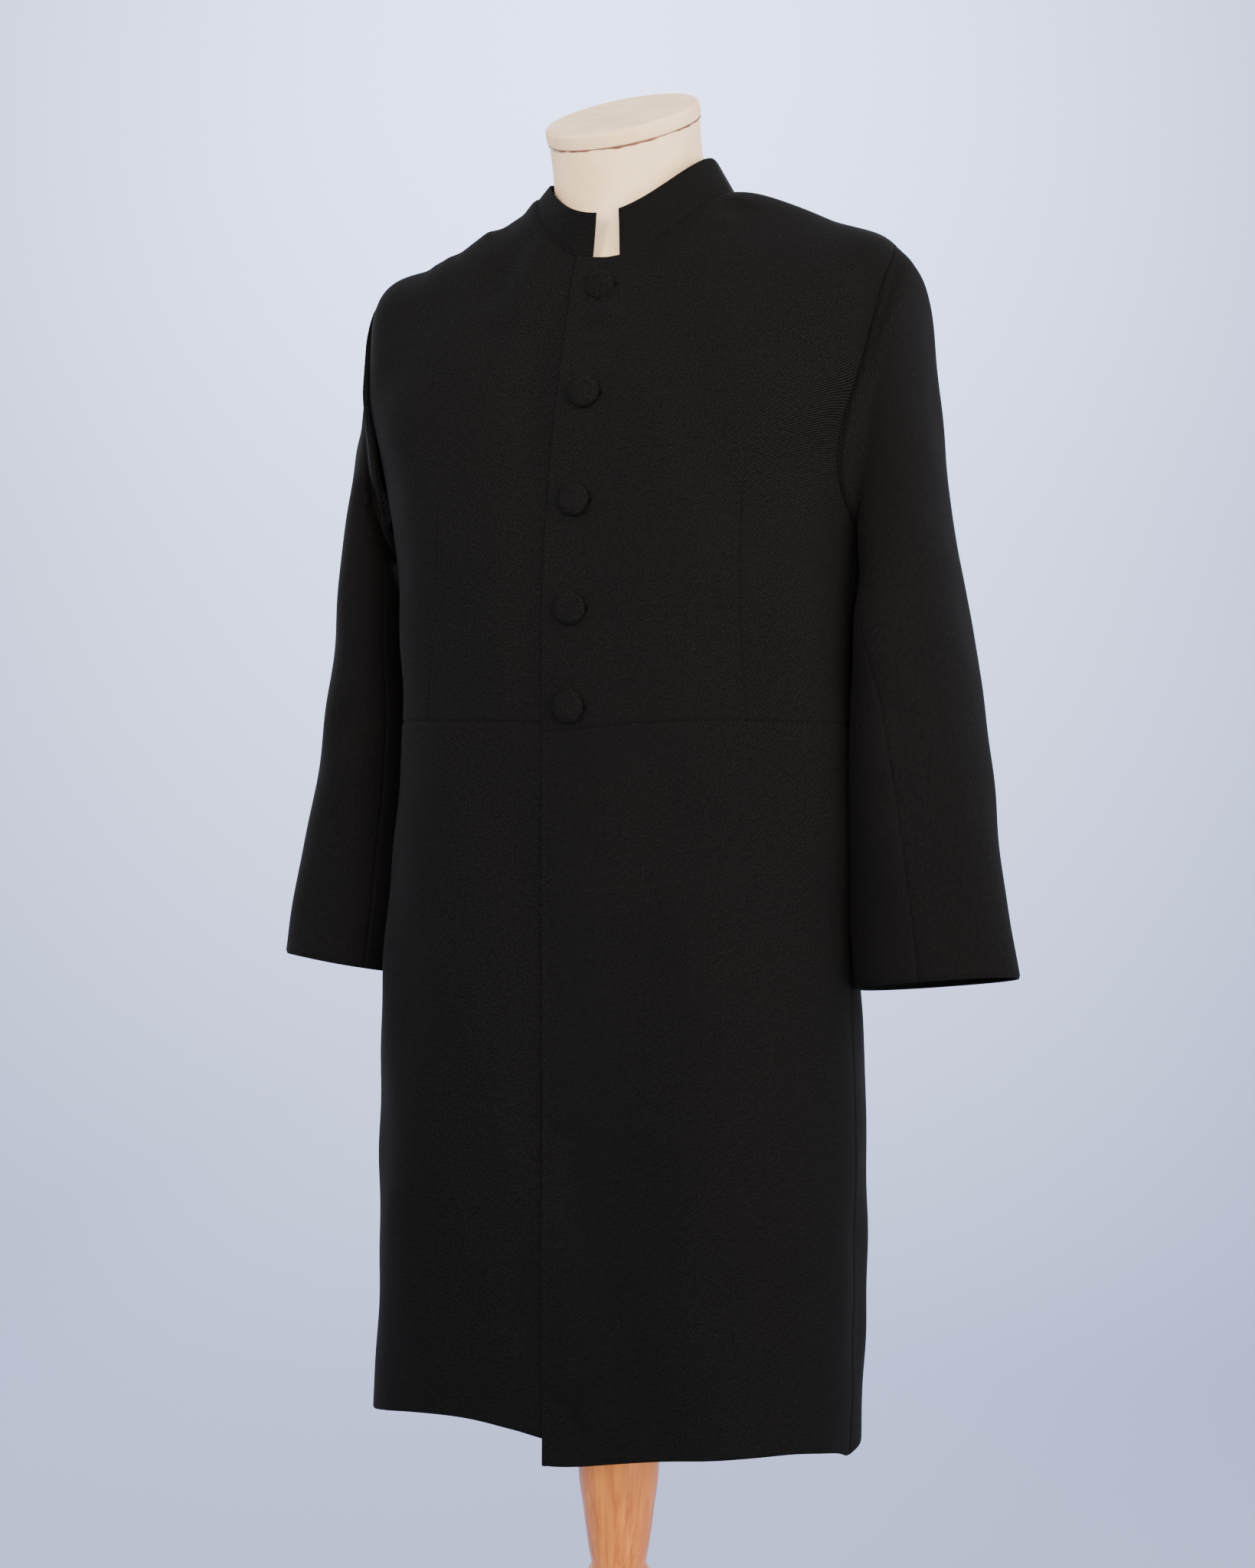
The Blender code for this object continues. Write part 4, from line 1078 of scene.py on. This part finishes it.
def holePiece(number, height):
    # a worked buttonhole: a ring of close stitches, drawn out to a slot and laid on the left front
    thin = hole["ringCord"]
    piece = startPiece(
        f"buttonhole.{number}", bpy.ops.mesh.primitive_torus_add, major_radius=1, minor_radius=thin,
        major_segments=72, minor_segments=8, align="WORLD", location=(0, 0, 0),
    )
    half, wide, tube = hole["length"] / 2, hole["width"] / 2, hole["cord"]
    start = np.array([vertex.co for vertex in piece.data.vertices])
    turn = np.arctan2(start[:, 1], start[:, 0])
    ring = (np.hypot(start[:, 0], start[:, 1]) - 1) / thin * tube
    out = np.cos(turn)
    along = out * wide + np.sign(out) * (half - wide) * np.minimum(1, np.abs(out) * hole["straightness"])
    xs = closure["x"] + hole["start"] + half + along + ring * out
    heights = height - hole["drop"] * along + (wide + ring) * np.sin(turn)
    places, outs = frontSpots(xs, heights)
    places += outs * (start[:, 2:] / thin * tube * hole["flatness"])
    piece.data.vertices.foreach_set("co", places.reshape(-1))
    piece.data.update()
    bpy.ops.object.shade_smooth()
    piece.data.materials.append(silkTwist)
    handOver(piece, "coat_cloth")
    return piece


for number, height in enumerate(button["heights"], 1):
    buttonPiece(number, height)
holes = [holePiece(number, height) for number, height in enumerate(button["heights"], 1)]
print("buttons and buttonholes made")


def tubePiece(name, rings, material, slot, node):
    # a grid is rolled into a closed tube of rings, and both its ends are filled
    rows, columns = rings.shape[:2]
    piece = startPiece(
        name, bpy.ops.mesh.primitive_grid_add, x_subdivisions=columns, y_subdivisions=rows - 1, size=1
    )
    closed = np.concatenate([rings, rings[:, :1]], axis=1)
    piece.data.vertices.foreach_set("co", closed.reshape(-1))
    piece.data.update()
    bpy.ops.object.mode_set(mode="EDIT")
    bpy.ops.mesh.select_all(action="SELECT")
    bpy.ops.mesh.remove_doubles(threshold=0.00001)
    bpy.ops.mesh.fill_holes(sides=0)
    bpy.ops.mesh.select_all(action="SELECT")
    bpy.ops.mesh.normals_make_consistent(inside=False)
    bpy.ops.object.mode_set(mode="OBJECT")
    smoothBy("cloth")
    piece.data.materials.append(material)
    handOver(piece, slot, node)


def neckRing(values, degrees):
    halfWidth, halfDepth, midY, midZ, tilt = values
    turn, tilt = np.radians(degrees), math.radians(tilt)
    across, fore = halfWidth * np.sin(turn), -halfDepth * np.cos(turn)
    return stacked(across, midY + fore * math.cos(tilt), midZ + fore * math.sin(tilt))


def bustPiece():
    degrees = np.linspace(0, 360, form["columns"], endpoint=False)
    atFront = smoothStep((np.cos(np.radians(degrees)) - form["lapFrom"]) / form["lapFade"])
    behindLap = (coat["cloth"] + closure["clearance"]) * atFront
    under = {name: creases[name] for name in ("right shoulder slope", "right side, beside the sleeve")}
    rings = []
    for level in bustLevels:
        places = stacked(degrees, np.full(len(degrees), level))
        inset = smoothThrough(list(bustInset.values()), level) + behindLap
        normals = bodyNormal(places)
        points = creased(bodyPoint(places), normals, under)
        rings.append(points - normals * inset[:, None])
    rings[0][:, 2] = form["bottomZ"]
    rings += [neckRing(row, degrees) for row in neckRings.values()]
    rings = smoothThrough(np.array(rings), np.linspace(0, len(rings) - 1, 3 * len(rings)))
    tubePiece("formBust", rings, cottonJersey, "form_cover", "form_bust")


def layOnNeck(piece, clear=0.0):
    # tilts a piece that was made round the origin and lays it on the neck's slanting top
    tilt = math.radians(form["capTilt"])
    top = neckRings["top"]
    piece.rotation_euler = (tilt, 0, 0)
    piece.location = (0, top[2] - clear * math.sin(tilt), top[3] + clear * math.cos(tilt))
    settle(piece)


def tiltedCap():
    cap = turnedPiece("formNeckCap", softProfile(form["capProfile"], 60), 128, cottonJersey, "rounded")
    layOnNeck(cap, form["capClear"])
    handOver(cap, "form_cover", "form_neck_cap")


# The bead of glue, squeezed out unevenly: each swell is a share, its waves round the neck and its phase
glueBead = {
    "radius": 0.0634, "thickness": 0.0009, "middle": 0.75, "least": 0.25,
    "swells": ((0.35, 5, 1), (0.3, 13, 0), (0.25, 29, 2)),
    "wander": 0.0003, "wanders": 7,
}


def glueLine():
    line = startPiece(
        "glueLine", bpy.ops.mesh.primitive_torus_add, major_radius=glueBead["radius"],
        minor_radius=glueBead["thickness"], major_segments=240, minor_segments=8, location=(0, 0, 0),
    )
    for vertex in line.data.vertices:
        turn = math.atan2(vertex.co.y, vertex.co.x)
        swell = glueBead["middle"]
        for share, count, phase in glueBead["swells"]:
            swell += share * math.sin(count * turn + phase)
        core = Vector((math.cos(turn), math.sin(turn), 0)) * glueBead["radius"]
        vertex.co = core + (vertex.co - core) * max(swell, glueBead["least"])
        vertex.co.z += glueBead["wander"] * math.sin(glueBead["wanders"] * turn)
    layOnNeck(line)
    bpy.ops.object.shade_smooth()
    line.data.materials.append(animalGlue)
    handOver(line, "form_cover")


bustPiece()
tiltedCap()
glueLine()
for name, node, profile, count, material in (
    ("formPole", "form_pole", form["poleProfile"], 150, poleBeech),
    ("formBase", "form_base", form["baseProfile"], 90, baseBeech),
):
    handOver(turnedPiece(name, softProfile(profile, count), 128, material, "wood"), "form_wood", node)
print("dress form made")

# What each cut panel is and what holds it up, listed; the loop only forms each panel's name and keeps nothing
for word in ("left", "right"):
    for kind, held, restsOn in (
        ("bodiceFront", "draped", ["formBust"]),
        ("bodiceBack", "draped", ["formBust"]),
        ("skirtFront", "hung", [f"bodiceFront.{word}"]),
        ("skirtBack", "hung", [f"bodiceBack.{word}"]),
        ("topSleeve", "hung", [f"bodiceFront.{word}", f"bodiceBack.{word}"]),
        ("underSleeve", "hung", [f"bodiceFront.{word}", f"bodiceBack.{word}"]),
    ):
        name = f"{kind}.{word}"


# Camera: 1.77 m from the pole's axis, turned 22.5 degrees towards the wearer's left, level
camera = {
    "turn": 22.5, "distance": 1.770, "height": 0.977, "lens": 33.08, "filmHeight": 24.0, "shiftX": 0.0056,
}
cameraTurn = math.radians(camera["turn"])

studio = {
    "near": -4.5,          # the sweep's floor, from in front of the camera to behind the form
    "far": 3.4,
    "bend": 1.6,
    "top": 4.6,
    "halfWidth": 6.0,
    "below": 0.0004,
    # the paper's colours: light for the pool of light painted round the point below, deep for the painted
    # shade past its reach
    "light": "DAE3FF", "deep": "A0A7BF", "roughness": 0.95, "specular": 0.1,
    "paintedLightAt": (0.10, 2.5),
    "paintedLightReach": 4.0,
    "world": "DDE2F6", "worldStrength": 1.68,
}


def fromCamera(side, back):
    # x and y of a place this far to the camera's right and this far away from it past the form
    return (
        side * math.cos(cameraTurn) - back * math.sin(cameraTurn),
        side * math.sin(cameraTurn) + back * math.cos(cameraTurn),
    )


def stageSweep():
    # a floor that curves up into the backdrop behind the form
    sweep = startPiece(
        "studioSweep", bpy.ops.mesh.primitive_grid_add, x_subdivisions=2, y_subdivisions=90, size=2
    )
    near, far, bend, top, half = (studio[name] for name in ("near", "far", "bend", "top", "halfWidth"))
    flat, arc = far - bend - near, bend * math.pi / 2
    total = flat + arc + top - bend
    for vertex in sweep.data.vertices:
        along = (vertex.co.y + 1) / 2 * total
        if along < flat:
            back, up = near + along, 0.0
        elif along < flat + arc:
            angle = (along - flat) / bend
            back, up = far - bend + bend * math.sin(angle), bend - bend * math.cos(angle)
        else:
            back, up = far, bend + along - flat - arc
        vertex.co = (*fromCamera(vertex.co.x * half, back), up - studio["below"])
    sweep.data.update()
    bpy.ops.object.shade_smooth()
    sweep.data.materials.append(sweepPaperWithPaintedLight())


def sweepPaperWithPaintedLight():
    # pale grey-blue background paper, with a pool of light painted into its colour behind the shoulders and
    # painted shade away from it
    made, tree = newMaterial("matt background paper with painted light pool")
    x, z = studio["paintedLightAt"]
    middle = (*fromCamera(x, studio["far"]), z)
    source = addNode(tree, "TexCoord", output="Object")
    away = addNode(tree, "VectorMath", {0: source, 1: middle}, "Value", operation="DISTANCE")
    # painted light: the paper is lightest at that point and darkens with distance, as painted shade
    paintedLightPool = stretched(tree, away, (0.0, studio["paintedLightReach"]), interpolation_type="SMOOTHERSTEP")
    shaded(tree, {
        "Base Color": twoTone(tree, paintedLightPool, studio["light"], studio["deep"]),
        "Roughness": studio["roughness"],
        "Specular IOR Level": studio["specular"],
    })
    return made


# Softboxes: degrees round from the camera (negative is to its left), distance, height and size in metres,
# watts, colour, the point aimed at and the spread of the beam in degrees
Softbox = namedtuple("Softbox", "round distance height size watts colour aim spread")
softboxes = {
    "key": Softbox(-36, 2.5, 1.9, 0.6, 14, "FFFAF2", (0, 0, 1.55), 95),
    "front": Softbox(9, 2.4, 1.4, 1.8, 7, "FFFAF4", (0, 0, 1.55), 85),
    "side": Softbox(42, 2.8, 1.6, 3.0, 50, "FCFAF6", (0, 0, 1.62), 82),
    "fill": Softbox(3, 1.9, 1.2, 0.5, 4, "FFFCF6", (0, 0, 1.30), 90),
    "rim": Softbox(118, 2.2, 1.8, 1.3, 15, "F4F2FF", (0.1, 0, 1.1), 180),
    "left rim": Softbox(-136, 2.3, 1.5, 1.4, 26, "F8F6FF", (-0.1, 0, 1.1), 180),
    "back": Softbox(172, 2.4, 1.9, 1.6, 20, "FFFAF4", (0, 0, 1.2), 110),
    "backdrop": Softbox(180, 1.3, 3.2, 1.6, 75, "EEF2FF", (-1.5, 3.2, 2.2), 130),
}


def softLight(name, box):
    data = bpy.data.lights.new(name, "AREA")
    data.energy, data.size = box.watts, box.size
    data.color = linear(box.colour)[:3]
    data.spread = math.radians(box.spread)
    lamp = bpy.data.objects.new(name, data)
    lamp.visible_camera = False
    bpy.context.scene.collection.objects.link(lamp)
    turn = math.radians(camera["turn"] + box.round)
    place = Vector((math.sin(turn) * box.distance, -math.cos(turn) * box.distance, box.height))
    lamp.location = place
    lamp.rotation_euler = (Vector(box.aim) - place).to_track_quat("-Z", "Y").to_euler()


stageSweep()
for name, softbox in softboxes.items():
    softLight(name, softbox)
world = bpy.context.scene.world or bpy.data.worlds.new("studio")
bpy.context.scene.world = world
world.use_nodes = True
sky = world.node_tree.nodes["Background"]
sky.inputs["Color"].default_value = linear(studio["world"])
sky.inputs["Strength"].default_value = studio["worldStrength"]

lens = bpy.data.cameras.new("studio camera")
lens.sensor_fit = "VERTICAL"
lens.sensor_height = camera["filmHeight"]
lens.lens = camera["lens"]
lens.shift_x = camera["shiftX"]
eye = bpy.data.objects.new("studio camera", lens)
eye.location = (*fromCamera(0, -camera["distance"]), camera["height"])
eye.rotation_euler = (math.radians(90), 0, cameraTurn)
bpy.context.scene.collection.objects.link(eye)
bpy.context.scene.camera = eye
print("stage, lights and camera set")
